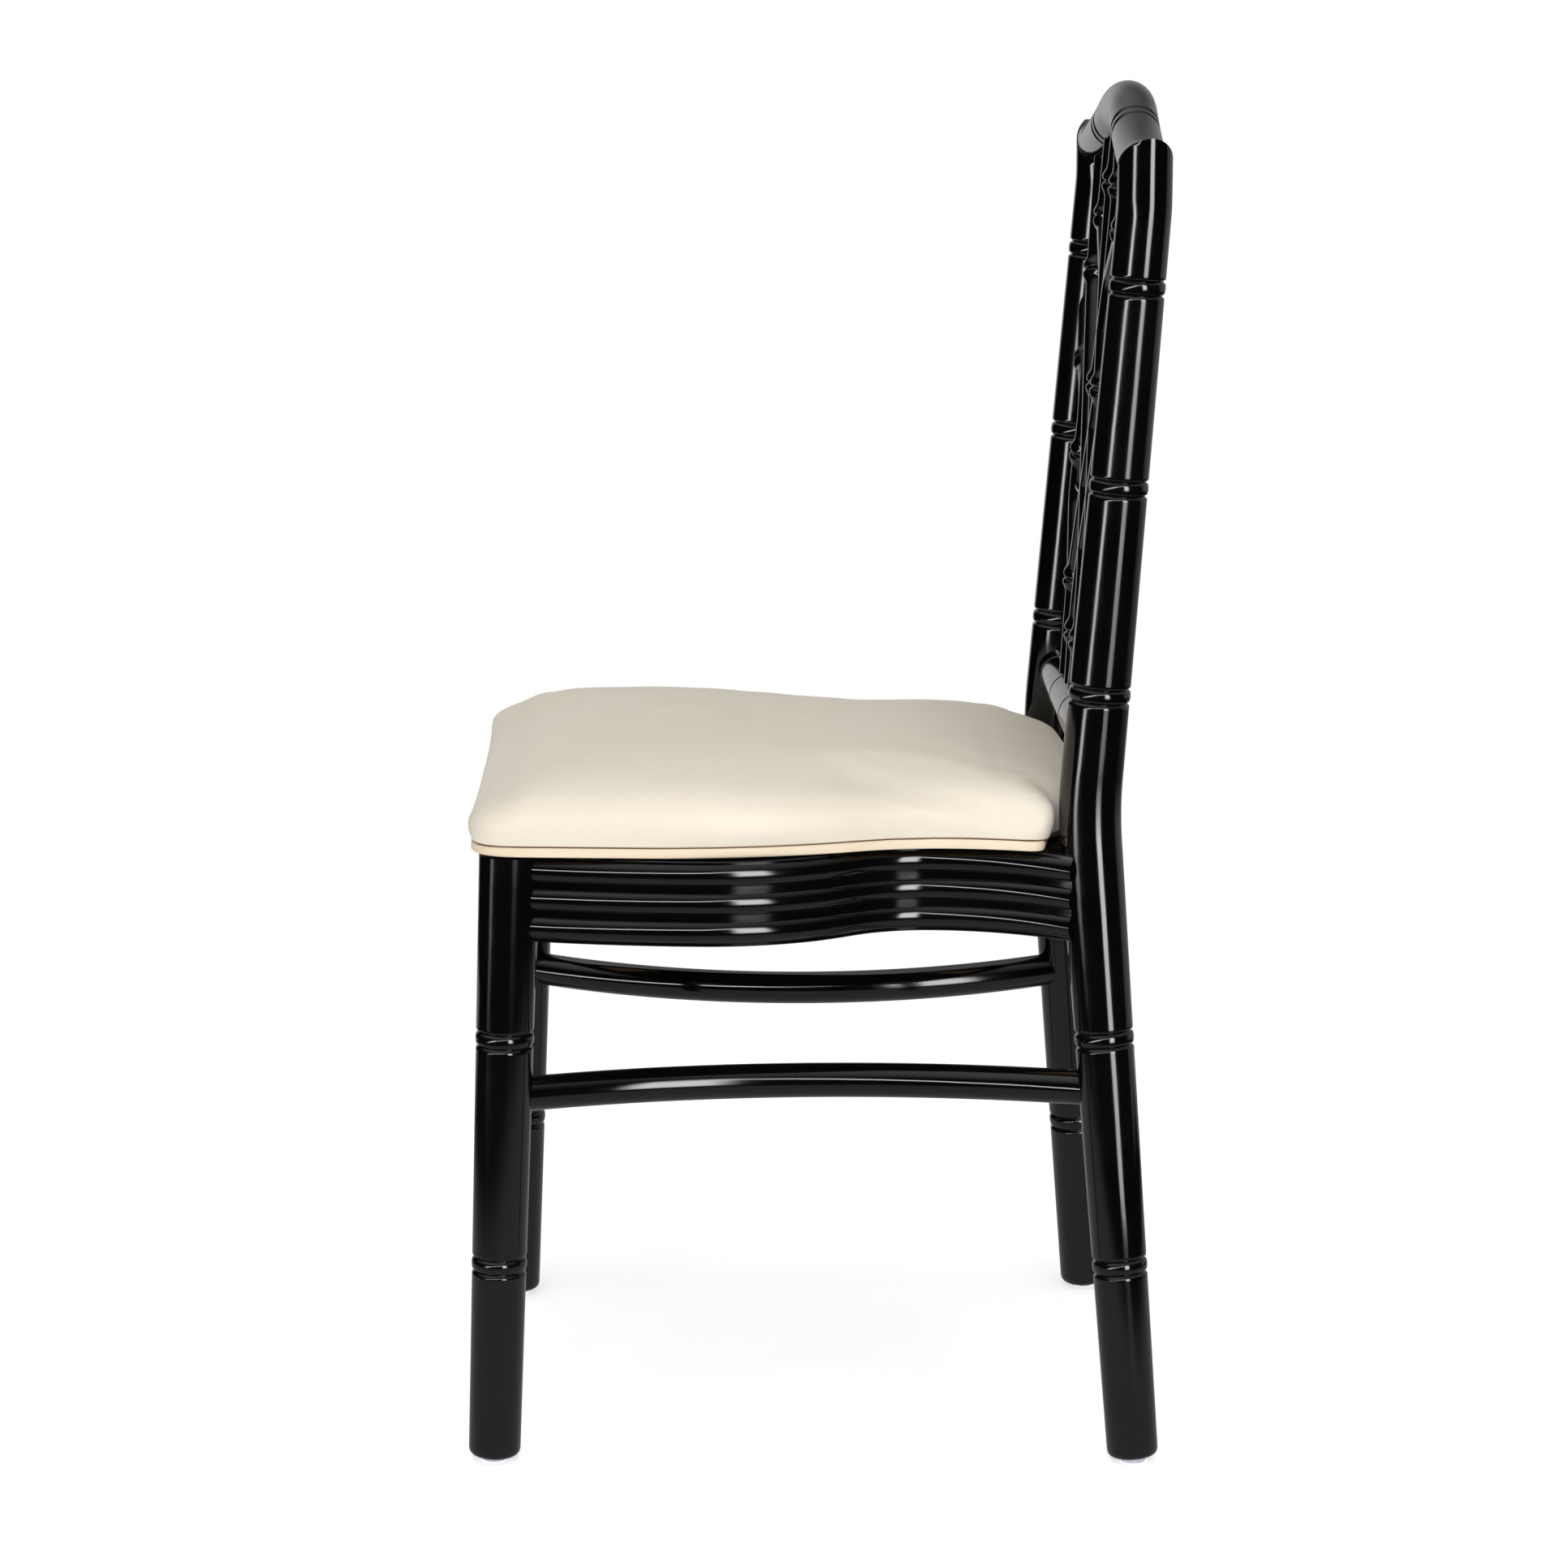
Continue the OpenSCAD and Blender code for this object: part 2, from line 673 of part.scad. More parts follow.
module rail_dowel_set(gap = 0) {
    for (s = dowel_sets, k = [-0.5, 0.5])
        translate([0, 0, k * dowel_pitch + s[2]]) along(s[0], s[1])
            cylinder(r = dowel_d / 2 + gap, h = dowel_l + 2 * gap, center = true);
}

module rail_dowels() {
    color(wood) for (side = [1, -1]) mirrored(side) rail_dowel_set();
}

// Stretcher: a bowed rod from leg to post, in a plane that dips inwards
stretch_a = leg_at(stretcher_z);
stretch_b = foot + shin * stretcher_z / shin[2];
stretch_half = norm(stretch_b - stretch_a) / 2;
stretch_rise = norm([stretcher_bow, stretcher_drop]);
stretch_bend = (stretch_half * stretch_half + stretch_rise * stretch_rise) / (2 * stretch_rise);
stretch_turn = asin(stretch_half / stretch_bend);
stretch_y = unit(stretch_b - stretch_a);
stretch_way = [-stretcher_bow, 0, -stretcher_drop];
stretch_in = unit(stretch_way - stretch_y * (stretch_way * stretch_y));
stretch_mid = (stretch_a + stretch_b) / 2 + stretch_in * stretch_rise;
stretch_up = cross(stretch_in, stretch_y);

module stretcher_arc(d) {
    frame(stretch_mid - stretch_in * stretch_bend, stretch_in, stretch_y, stretch_up)
        rotate([0, 0, -stretch_turn]) rotate_extrude(angle = 2 * stretch_turn, $fn = 180)
            translate([stretch_bend, 0]) circle(d = d);
}

module stretcher_tenons(gap = 0) {
    out_a = -stretch_y * cos(stretch_turn) - stretch_in * sin(stretch_turn);
    out_b = stretch_y * cos(stretch_turn) - stretch_in * sin(stretch_turn);
    along(stretch_a - out_a * 24, out_a) cylinder(r = stretcher_tenon_d / 2 + gap, h = 28 + gap);
    along(stretch_b - out_b * 24, out_b) cylinder(r = stretcher_tenon_d / 2 + gap, h = 28 + gap);
}

module side_stretcher(side) {
    color(black) mirrored(side) {
        difference() {
            stretcher_arc(stretcher_d);
            leg_plain();
            shin_plain();
        }
        stretcher_tenons();
    }
}

// Glides: a round plastic foot with a countersunk nail
function foot_at(p, dir) = p + dir * glide_h / dir[2];

module nail_at(p, gap = 0) {
    dir = p == foot ? shin : leg_up;
    centre = foot_at(p, dir);
    translate([centre[0], centre[1], 1.6]) {
        cylinder(r = nail_d / 2 + gap, h = nail_l + gap);
        cylinder(r = nail_d + gap, h = 0.8 + gap);
    }
}

module glide(side, p) {
    dir = p == foot ? shin : leg_up;
    centre = foot_at(p, dir);
    color(plastic) mirrored(side) difference() {
        translate([centre[0], centre[1], 0]) rotate_extrude()
            polygon([[0, 0], [glide_d / 2 - 1.6, 0], [glide_d / 2 - 0.4, 0.6], [glide_d / 2, 1.8],
                [glide_d / 2, glide_h], [0, glide_h]]);
        nail_at(p, peg_gap);
        translate([centre[0], centre[1], -1]) cylinder(r = nail_d + peg_gap, h = 3);
    }
}

module glide_nails() {
    color(steel) for (side = [1, -1]) mirrored(side) {
        nail_at(leg_foot);
        nail_at(foot);
    }
}

// Corner blocks: a glued and screwed wedge inside each corner of the seat frame
block_z = rail_h - panel_t - block_h;
module block_wedge(reach) {
    translate([0, 0, block_z]) linear_extrude(block_h) polygon([[0, 0], [-reach, 0], [0, reach]]);
}

front_block = [front_leg_x - 9, front_rail_y + rail_t + 0.2];
rear_block = [136, rear_rail_y - rail_t / 2 - 0.2];

module front_block_solid() {
    intersection() {
        on_seat() translate([front_block[0] - 2, front_block[1] + 1.5, 0]) block_wedge(62);
        on_seat() rail_inside(0.3);
    }
}

module corner_block_front(side) {
    color(wood) mirrored(side) difference() {
        front_block_solid();
        leg_grown();
        block_screw_set(peg_gap);
        panel_screw_set(peg_gap);
    }
}

module corner_block_rear(side) {
    color(wood) mirrored(side) difference() {
        intersection() {
            on_seat() translate([rear_block[0], rear_block[1], 0]) mirror([0, 1, 0]) block_wedge(58);
            on_seat() rail_inside(0.3);
        }
        block_screw_set(peg_gap);
        panel_screw_set(peg_gap);
    }
}

module leg_grown() {
    along(leg_foot, leg_up) cylinder(r = front_top_d / 2 + 0.3, h = 500);
}

// The space inside the seat rails, drawn in by a gap
inner_widest = bulge_x - rail_t;
module rail_inside(gap) {
    linear_extrude(rail_h) difference() {
        translate([0, front_rail_y + rail_t + gap])
            square([inner_widest - gap, rear_rail_y - rail_t / 2 - front_rail_y - rail_t - 2 * gap]);
        translate([inner_widest - gap, bulge_y - 300]) square([60, 600]);
        difference() {
            translate([bulge_x - rail_t - 60, bulge_y - 300]) square([120, 300]);
            translate([bulge_x - front_sweep, bulge_y]) circle(r = front_sweep - rail_t - gap, $fn = 180);
        }
        difference() {
            translate([waist_x - rail_t - 30, bulge_y]) square([120, bulge_sweep * sin(sweep_turn)]);
            translate([bulge_x - bulge_sweep, bulge_y]) circle(r = bulge_sweep - rail_t - gap, $fn = 180);
        }
        intersection() {
            translate([waist_x - rail_t - 60, waist_y - waist_sweep * sin(sweep_turn) - 0.01])
                square([160, waist_sweep * sin(sweep_turn) + 0.02]);
            translate([waist_x + waist_sweep, waist_y]) circle(r = waist_sweep + rail_t + gap, $fn = 180);
        }
        intersection() {
            translate([waist_x - rail_t - 60, waist_y]) square([160, 160]);
            translate([waist_x + flare_sweep, waist_y]) circle(r = flare_sweep + rail_t + gap, $fn = 180);
        }
    }
}

// A countersunk wood screw; its hole is open behind its head
module wood_screw(o, dir, l, gap = 0) {
    along(o, dir) {
        cylinder(r = screw_d / 2 + gap, h = l + gap);
        translate([0, 0, gap > 0 ? -40 : 0]) cylinder(r = screw_d + gap, h = gap > 0 ? 42.2 + gap : 2.2);
    }
}

screw_z = block_z + block_h / 2;
front_screw_in = 38;
rear_screw_in = 34;
screw_back = 17;
module block_screw_set(gap = 0) {
    on_seat() {
        wood_screw([front_block[0] - front_screw_in, front_block[1] + screw_back, screw_z], [0, -1, 0],
            screw_l, gap);
        wood_screw([rear_block[0] - rear_screw_in, rear_block[1] - screw_back, screw_z], [0, 1, 0],
            screw_l, gap);
    }
}

module block_screws() {
    color(steel) for (side = [1, -1]) mirrored(side) block_screw_set();
}

// Seat panel: plywood that lies on the corner blocks, flush with the rails
panel_z = rail_h - panel_t;
module seat_panel() {
    color(black) difference() {
        for (side = [1, -1]) mirrored(side) intersection() {
            on_seat() rail_inside(panel_gap);
            on_seat(panel_z) translate([-0.001, -300, 0]) cube([400, 600, panel_t]);
        }
        for (side = [1, -1]) mirrored(side) {
            along(leg_foot, leg_up) cylinder(r = front_top_d / 2 + panel_gap, h = 500);
            along(knee - shin * 120, shin) cylinder(r = knee_d / 2 + panel_gap, h = 200);
            panel_screw_set(peg_gap);
        }
    }
}

front_panel_screw = [-28, 20];
rear_panel_screw = [-22, -16];
module panel_screw_set(gap = 0) {
    on_seat(rail_h) {
        for (p = [front_block + front_panel_screw, rear_block + rear_panel_screw])
            wood_screw([p[0], p[1], 0], -up, screw_l, gap);
    }
}

module panel_screws() {
    color(steel) for (side = [1, -1]) mirrored(side) panel_screw_set();
}

// Hook and loop tapes: two strips across the seat
tape_l = 220;
tape_y = [-120, 100];
pad_base = rail_h + 2 * tape_t + tape_gap;

module tapes(z) {
    on_seat(z) for (y = tape_y) translate([-tape_l / 2, y - tape_w / 2, 0]) cube([tape_l, tape_w, tape_t]);
}

module loop_tapes() { color(fibre) tapes(rail_h); }
module hook_tapes() { color(fibre) tapes(rail_h + tape_t + tape_gap); }

// Seat pad. Its outline at +X is a chain of arcs: [centre, radius, first angle, last angle, steps, side]
pad_turn = 2 * atan((pad_wide_x - pad_waist_x) / (pad_waist_y - pad_wide_y));
pad_hollow = (pad_waist_y - pad_wide_y) / sin(pad_turn) - pad_sweep;
pad_back_turn = asin((pad_back_y - pad_back_r - pad_waist_y) / (pad_flare + pad_back_r));
back_corner = [pad_waist_x + pad_flare - (pad_flare + pad_back_r) * cos(pad_back_turn),
    pad_back_y - pad_back_r];
front_corner = [pad_wide_x - pad_front_r, pad_front_y + pad_front_r];

function arc_pts(c, r, a, b, n, side) = [
    for (i = [0 : n]) let (t = a + (b - a) * i / n)
        [c[0] + r * cos(t), c[1] + r * sin(t), side * cos(t), side * sin(t)]
];
function edge_pts(x, y, bow, dir, n) = [
    for (i = [0 : n]) let (s = i / n) [x * s, y + bow * (1 - s * s), 0, dir]
];
function backwards(v) = [for (i = [len(v) - 1 : -1 : 0]) v[i]];

pad_half = concat(
    edge_pts(front_corner[0], pad_front_y, pad_front_bow, -1, 3),
    arc_pts(front_corner, pad_front_r, -72, 0, 4, 1),
    arc_pts([pad_wide_x - pad_sweep, pad_wide_y], pad_sweep, 0, pad_turn, 4, 1),
    arc_pts([pad_waist_x + pad_hollow, pad_waist_y], pad_hollow, 173 + pad_turn, 180, 2, -1),
    arc_pts([pad_waist_x + pad_flare, pad_waist_y], pad_flare, 174, 180 - pad_back_turn, 1, -1),
    arc_pts(back_corner, pad_back_r, 20 - pad_back_turn, 72, 3, 1),
    backwards(edge_pts(back_corner[0], pad_back_y, pad_back_bow, 1, 2))
);
pad_outline = concat(pad_half, [for (p = backwards(pad_half)) if (p[0] > 0.01) [-p[0], p[1], -p[2], p[3]]]);

// Levels of the pad's side: how far it is drawn in, and its height as a share of the side
pad_levels = [[1, 0], [1, hem_h / pad_h], [0.4, 0.26], [0, 0.45], [0.25, 0.66], [1.2, 0.85], [3, 0.97]];
crown_steps = 4;
pad_centre = [0, (pad_front_y + pad_back_y) / 2];

function level_ring(inset, z) = [for (p = pad_outline) [p[0] - p[2] * inset, p[1] - p[3] * inset, z]];
function crown_ring(ring, s, rise) = [
    for (p = ring)
        [pad_centre[0] + (p[0] - pad_centre[0]) * s, pad_centre[1] + (p[1] - pad_centre[1]) * s, p[2] + rise]
];

// Rings of the pad's skin, drawn in by t all round and at the top, from the height z up
function skin_rings(t, z) =
    let (
        tall = pad_h - t,
        sides = [for (l = pad_levels) level_ring(t + pad_tuck * l[0], max(z, tall * l[1]))],
        last = sides[len(sides) - 1]
    )
    concat(sides, [
        for (k = [1 : crown_steps])
            let (s = 1 - k / (crown_steps + 0.6))
            crown_ring(last, s, pad_h * 0.03 + (pad_crown - pad_h * 0.03) * (1 - s * s * s))
    ]);
function skin_top(rings) = [pad_centre[0], pad_centre[1], rings[len(rings) - 1][0][2] + 0.2];

// Faces of a stack of m rings of n points, the first ring's points numbered from o, closed by point cap
function flipped(f, flip) = flip ? [f[0], f[2], f[1]] : f;
function stack_faces(n, m, o, cap, flip) = concat(
    [for (j = [0 : m - 2], i = [0 : n - 1]) let (k = (i + 1) % n, a = o + j * n, b = a + n)
        each [flipped([a + i, b + i, b + k], flip), flipped([a + i, b + k, a + k], flip)]],
    [for (i = [0 : n - 1]) let (a = o + (m - 1) * n) flipped([a + i, cap, a + (i + 1) % n], flip)]
);

module pad_skin(t, z) {
    rings = skin_rings(t, z);
    n = len(pad_outline);
    m = len(rings);
    polyhedron(
        points = concat([for (r = rings) each r], [skin_top(rings), [pad_centre[0], pad_centre[1], z]]),
        faces = concat(
            stack_faces(n, m, 0, n * m, false),
            [for (i = [0 : n - 1]) [i, (i + 1) % n, n * m + 1]]
        )
    );
}

// The inner edge of the cover's flap, drawn in by a gap
function flap_edge(gap, z) = crown_ring(level_ring(board_inset, z), 1 - (flap_w + gap) / pad_waist_x, 0);

// The cover: its outer skin and its inner skin, joined by the edge of the flap under the board
module cover_shell() {
    outer = concat([flap_edge(0, 0)], skin_rings(0, 0));
    inner = concat([flap_edge(0, cover_t)], skin_rings(cover_t, cover_t));
    n = len(pad_outline);
    m = len(outer);
    polyhedron(
        points = concat([for (r = outer) each r], [for (r = inner) each r],
            [skin_top(outer), skin_top(inner)]),
        faces = concat(
            stack_faces(n, m, 0, 2 * n * m, false),
            stack_faces(n, m, n * m, 2 * n * m + 1, true),
            [for (i = [0 : n - 1]) let (k = (i + 1) % n)
                each [[i, k, n * m + k], [i, n * m + k, n * m + i]]]
        )
    );
}

// A flat slice of the pad, drawn in from its widest outline
module pad_slice(inset, z, h) {
    on_seat(pad_base + z) linear_extrude(h)
        polygon([for (p = pad_outline) [p[0] - p[2] * inset, p[1] - p[3] * inset]]);
}

board_inset = pad_tuck + cover_t;
module pad_cover() {
    color(ivory) on_seat(pad_base) cover_shell();
}

module pad_foam() {
    color(foam) intersection() {
        on_seat(pad_base) pad_skin(cover_t, cover_t);
        on_seat(pad_base + cover_t + board_t) translate([-400, -400, 0]) cube([800, 800, 200]);
    }
}

module pad_board() {
    color(wood) difference() {
        pad_slice(board_inset, cover_t, board_t);
        staple_set(peg_gap);
    }
}

module pad_base_cloth() {
    color(fibre) on_seat(pad_base) linear_extrude(cover_t)
        polygon([for (p = flap_edge(peg_gap, 0)) [p[0], p[1]]]);
}

// The band ends short of the back corners
module pad_hem() {
    color(ivory) difference() {
        pad_slice(pad_tuck - hem_out, 0, hem_h);
        pad_slice(pad_tuck, -1, hem_h + 2);
        on_seat(pad_base) translate([-400, pad_back_y - 10, -1]) cube([800, 100, hem_h + 2]);
    }
}

// Staples that hold the cover's flap under the board, at +X and -X: place and turn of each
staple_inset = board_inset + 12;
staples = [
    [0, pad_front_y + pad_front_bow + staple_inset, 0], [0, pad_back_y + pad_back_bow - staple_inset, 0],
    [95, pad_front_y + pad_front_bow * 0.7 + staple_inset, 0],
    [85, pad_back_y + pad_back_bow * 0.6 - staple_inset, 0],
    [pad_wide_x - staple_inset, -165, 90], [pad_wide_x - staple_inset - 5, -60, 90],
    [pad_waist_x - staple_inset, pad_waist_y, 90]
];

module staple(gap = 0) {
    translate([-staple_w / 2 - gap, -staple_t / 2 - gap, -staple_t])
        cube([staple_w + 2 * gap, staple_t + 2 * gap, staple_t]);
    for (side = [-1, 1])
        translate([side * (staple_w - staple_t) / 2 - staple_t / 2 - gap, -staple_t / 2 - gap, -staple_t])
            cube([staple_t + 2 * gap, staple_t + 2 * gap, staple_t + staple_l + gap]);
}

module staple_set(gap = 0) {
    on_seat(pad_base) for (s = staples, side = s[0] > 0 ? [1, -1] : [1])
        translate([side * s[0], s[1], 0]) rotate([0, 0, s[2]]) staple(gap);
}

module pad_staples() { color(steel) staple_set(); }

front_leg(1);  // front_leg_left
front_leg(-1);  // front_leg_right
rear_post(1);  // rear_post_left
rear_post(-1);  // rear_post_right
crest_rail();
lower_back_rail();
arch_stick(1);  // arch_stick_left
arch_stick(-1);  // arch_stick_right
eye_stick(1);  // eye_stick_left
eye_stick(-1);  // eye_stick_right
long_stick(1);  // long_stick_left
long_stick(-1);  // long_stick_right
side_stick(1);  // side_stick_left
side_stick(-1);  // side_stick_right
front_rail();
side_rail(1);  // side_rail_left
side_rail(-1);  // side_rail_right
rear_rail();
corner_block_front(1);  // corner_block_front_left
corner_block_front(-1);  // corner_block_front_right
corner_block_rear(1);  // corner_block_rear_left
corner_block_rear(-1);  // corner_block_rear_right
side_stretcher(1);  // side_stretcher_left
side_stretcher(-1);  // side_stretcher_right
rail_dowels();
crest_dowels();
block_screws();
seat_panel();
panel_screws();
loop_tapes();
glide(1, leg_foot);  // glide_front_left
glide(-1, leg_foot);  // glide_front_right
glide(1, foot);  // glide_rear_left
glide(-1, foot);  // glide_rear_right
glide_nails();
pad_board();
pad_foam();
pad_cover();
pad_base_cloth();
pad_hem();
pad_staples();
hook_tapes();
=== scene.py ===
"""A banquet chair of black lacquered wood, turned to look like bamboo, with a loose ivory seat pad.

The chair's own frame has X across it, with its left side at +X, faces -Y, and has Z up from the floor. Its
sizes are written in millimetres and are turned to metres where a mesh is made. The floor, the lights and the
camera are placed in metres.
"""

import math

import bpy
from bpy.props import FloatProperty, PointerProperty, StringProperty
from mathutils import Matrix, Vector


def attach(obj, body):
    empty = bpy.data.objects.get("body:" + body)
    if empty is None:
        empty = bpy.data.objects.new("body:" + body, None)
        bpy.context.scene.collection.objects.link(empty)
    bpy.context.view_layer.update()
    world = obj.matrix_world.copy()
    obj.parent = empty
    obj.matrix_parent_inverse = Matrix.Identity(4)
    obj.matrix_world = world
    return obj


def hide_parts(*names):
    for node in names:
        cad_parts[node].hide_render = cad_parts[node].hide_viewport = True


bl_info = {
    "name": "Banquet Chair",
    "version": (1, 0, 0),
    "blender": (4, 5, 0),
    "location": "3D View > Sidebar > Chair",
    "description": "Builds the visible pieces of a lacquered banquet chair over its construction model",
    "category": "Object",
}

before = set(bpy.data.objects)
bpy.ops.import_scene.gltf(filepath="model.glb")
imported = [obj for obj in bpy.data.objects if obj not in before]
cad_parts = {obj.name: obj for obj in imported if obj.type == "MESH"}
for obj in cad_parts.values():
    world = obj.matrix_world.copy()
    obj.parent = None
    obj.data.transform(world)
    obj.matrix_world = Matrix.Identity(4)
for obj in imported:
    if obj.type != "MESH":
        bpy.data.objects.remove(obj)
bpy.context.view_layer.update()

MM = 0.001
UP = Vector((0, 0, 1))

# The construction's own sizes, in millimetres. Places are those of the left side, at +X.
LEG_FOOT = Vector((185, -217.2, 0))
LEG_RAKE = math.radians(2.05)
LEG_UP = Vector((0, math.sin(LEG_RAKE), math.cos(LEG_RAKE)))
LEG_LENGTH = 437
LEG_RINGS = (139, 295)
FOOT = Vector((196.7, 215.8, 0))
KNEE = Vector((160, 182.9, 443))
SHIN = (KNEE - FOOT).normalized()
NECK = Vector((160, 214, 842))
KNEE_BEND = 275
NECK_BEND = 150
ABOVE_NECK = 72
POST_RINGS = (135, 289.5, 521.5, 659.5, 790.5)
POST_KNEE_THICK = 41.6
GLIDE_TOP = 3.8
CREST_MID = Vector((0, 217.9, 900.5))
CREST_LEAN = math.radians(7)
CREST_UP = Vector((0, math.sin(CREST_LEAN), math.cos(CREST_LEAN)))
CREST_SWEEP = 145
CREST_HOLLOW = 800
CREST_SLOPE = math.radians(17.5)
MITRE_SLOPE = math.radians(44)
MITRE_TILT = math.radians(6)
BACK_RAIL_Z = 485
SEAT_FALL = math.radians(0.8)
RAIL_Z = 359.5
RAIL_HEIGHT = 57.5
RAIL_THICK = 24

# The rounded edge of a wooden foot: (distance from the glide, change of radius)
FOOT_EDGE = [(0, -5), (0.4, -3.1), (1.5, -1.45), (3.1, -0.4), (5, 0)]


def clamped(value):
    """The value, held between 0 and 1."""
    return min(max(value, 0), 1)


def eased(value):
    """A soft step: 0 below 0, 1 above 1, and a smooth rise between them."""
    value = clamped(value)
    return value * value * (3 - 2 * value)


def hex_colour(text):
    """Linear RGBA of an sRGB hex colour."""
    channels = [int(text[i : i + 2], 16) / 255 for i in (1, 3, 5)]
    return tuple(c / 12.92 if c <= 0.04045 else ((c + 0.055) / 1.055) ** 2.4 for c in channels) + (1.0,)


def alone(obj):
    """Makes obj the only selected object, and the active one."""
    bpy.ops.object.select_all(action="DESELECT")
    obj.select_set(True)
    bpy.context.view_layer.objects.active = obj
    return obj


def apply_modifiers(obj):
    """Applies a piece's modifiers, first to last."""
    alone(obj)
    for modifier in list(obj.modifiers):
        bpy.ops.object.modifier_apply(modifier=modifier.name)


def smoothed(obj, degrees=35):
    """Shades a piece smooth, but for edges sharper than degrees."""
    alone(obj)
    bpy.ops.object.shade_smooth_by_angle(angle=math.radians(degrees))
    return obj


def dress(obj, name, material, slot, body, *nodes):
    """Names a finished piece, gives it its finish, and puts it in the place of its CAD nodes."""
    obj.name = name
    obj.data.name = name
    obj.data.materials.clear()
    obj.data.materials.append(material)
    alone(obj)
    bpy.ops.object.transform_apply(location=True, rotation=True, scale=True)
    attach(obj, body)
    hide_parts(*nodes)
    return obj


def draw_line(points, radii=None, closed=False):
    """Draws a line of straight stretches by extruding its end from point to point, each with its radius."""
    bpy.ops.object.select_all(action="DESELECT")
    bpy.ops.curve.primitive_nurbs_path_add()
    line = bpy.context.object
    line.data.dimensions = "3D"
    bpy.ops.object.mode_set(mode="EDIT")
    bpy.ops.curve.select_all(action="SELECT")
    bpy.ops.curve.spline_type_set(type="POLY")
    bpy.ops.curve.select_all(action="DESELECT")
    for point in line.data.splines[0].points[1:]:
        point.select = True
    bpy.ops.curve.delete(type="VERT")
    first = line.data.splines[0].points[0]
    first.select = True
    here = first.co.to_3d()
    bpy.ops.transform.translate(value=Vector(points[0]) * MM - here)
    if radii:
        bpy.ops.curve.radius_set(radius=radii[0])
    for i in range(1, len(points)):
        step = (Vector(points[i]) - Vector(points[i - 1])) * MM
        bpy.ops.curve.extrude_move(TRANSFORM_OT_translate={"value": step})
        if radii:
            bpy.ops.curve.radius_set(radius=radii[i])
    if closed:
        bpy.ops.curve.cyclic_toggle()
    bpy.ops.object.mode_set(mode="OBJECT")
    return line


def as_mesh(line):
    """Turns a line with a thickness or a section into a closed mesh, with its normals outwards."""
    alone(line)
    bpy.ops.object.convert(target="MESH")
    obj = bpy.context.object
    bpy.ops.object.mode_set(mode="EDIT")
    bpy.ops.mesh.select_all(action="SELECT")
    bpy.ops.mesh.remove_doubles(threshold=0.01 * MM)
    bpy.ops.mesh.normals_make_consistent(inside=False)
    bpy.ops.object.mode_set(mode="OBJECT")
    return obj


def rod(points, radii, sides=48):
    """A round rod along points, with a radius in millimetres at each."""
    line = draw_line(points, radii)
    line.data.bevel_depth = MM
    line.data.bevel_resolution = sides // 2 - 2
    line.data.use_fill_caps = True
    line.data.twist_mode = "MINIMUM"
    return as_mesh(line)


def swept(points, section):
    """A moulding: a flat section, (outwards, up), carried along a line of points on the level."""
    profile = draw_line([(x, y, 0) for x, y in section], closed=True)
    line = draw_line(points)
    line.data.twist_mode = "Z_UP"
    line.data.bevel_mode = "OBJECT"
    line.data.bevel_object = profile
    line.data.use_fill_caps = True
    obj = as_mesh(line)
    bpy.data.objects.remove(profile)
    return obj


def cut_by(obj, point, normal):
    """Cuts away what lies beyond a plane, and closes the cut."""
    alone(obj)
    bpy.ops.object.mode_set(mode="EDIT")
    bpy.ops.mesh.select_all(action="SELECT")
    bpy.ops.mesh.bisect(plane_co=Vector(point) * MM, plane_no=normal, use_fill=True, clear_outer=True)
    bpy.ops.object.mode_set(mode="OBJECT")
    return obj


def mirrored_copy(obj):
    """The same piece for the chair's other side."""
    alone(obj)
    bpy.ops.object.duplicate()
    other = bpy.context.object
    bpy.ops.transform.resize(value=(-1, 1, 1), center_override=(0, 0, 0))
    bpy.ops.object.transform_apply(location=True, rotation=True, scale=True)
    bpy.ops.object.mode_set(mode="EDIT")
    bpy.ops.mesh.select_all(action="SELECT")
    bpy.ops.mesh.normals_make_consistent(inside=False)
    bpy.ops.object.mode_set(mode="OBJECT")
    return other


# Paths: a path is a list of close points, in millimetres


def filleted(corners, radii, pitch=3.0):
    """A path through corners, each inner corner rounded to its radius."""
    straight = 1e-4
    path = [Vector(corners[0])]
    for i in range(1, len(corners) - 1):
        here = Vector(corners[i])
        into = (here - Vector(corners[i - 1])).normalized()
        out = (Vector(corners[i + 1]) - here).normalized()
        angle = into.angle(out)
        if angle < straight:
            path.append(here)
            continue
        reach = radii[i - 1] * math.tan(angle / 2)
        inward = (out - into * into.dot(out)).normalized()
        centre = here - into * reach + inward * radii[i - 1]
        steps = max(3, math.ceil(radii[i - 1] * angle / pitch))
        for k in range(steps + 1):
            turn = angle * k / steps
            across = inward * radii[i - 1] * math.cos(turn)
            path.append(centre - across + into * radii[i - 1] * math.sin(turn))
    path.append(Vector(corners[-1]))
    return path


def lengths(path):
    """Distance along a path at each of its points."""
    along = [0.0]
    for a, b in zip(path, path[1:]):
        along.append(along[-1] + (b - a).length)
    return along


def at_length(path, along, s):
    """The point at distance s along a path."""
    for i in range(len(path) - 1):
        if s <= along[i + 1] or i == len(path) - 2:
            span = along[i + 1] - along[i]
            return path[i].lerp(path[i + 1], (s - along[i]) / span if span else 0)
    return path[-1]


def length_at_height(path, along, z):
    """Distance along a rising path where it reaches the height z."""
    for i in range(len(path) - 1):
        if path[i].z <= z <= path[i + 1].z:
            share = (z - path[i].z) / (path[i + 1].z - path[i].z)
            return along[i] + share * (along[i + 1] - along[i])
    raise ValueError("the path doesn't reach that height")


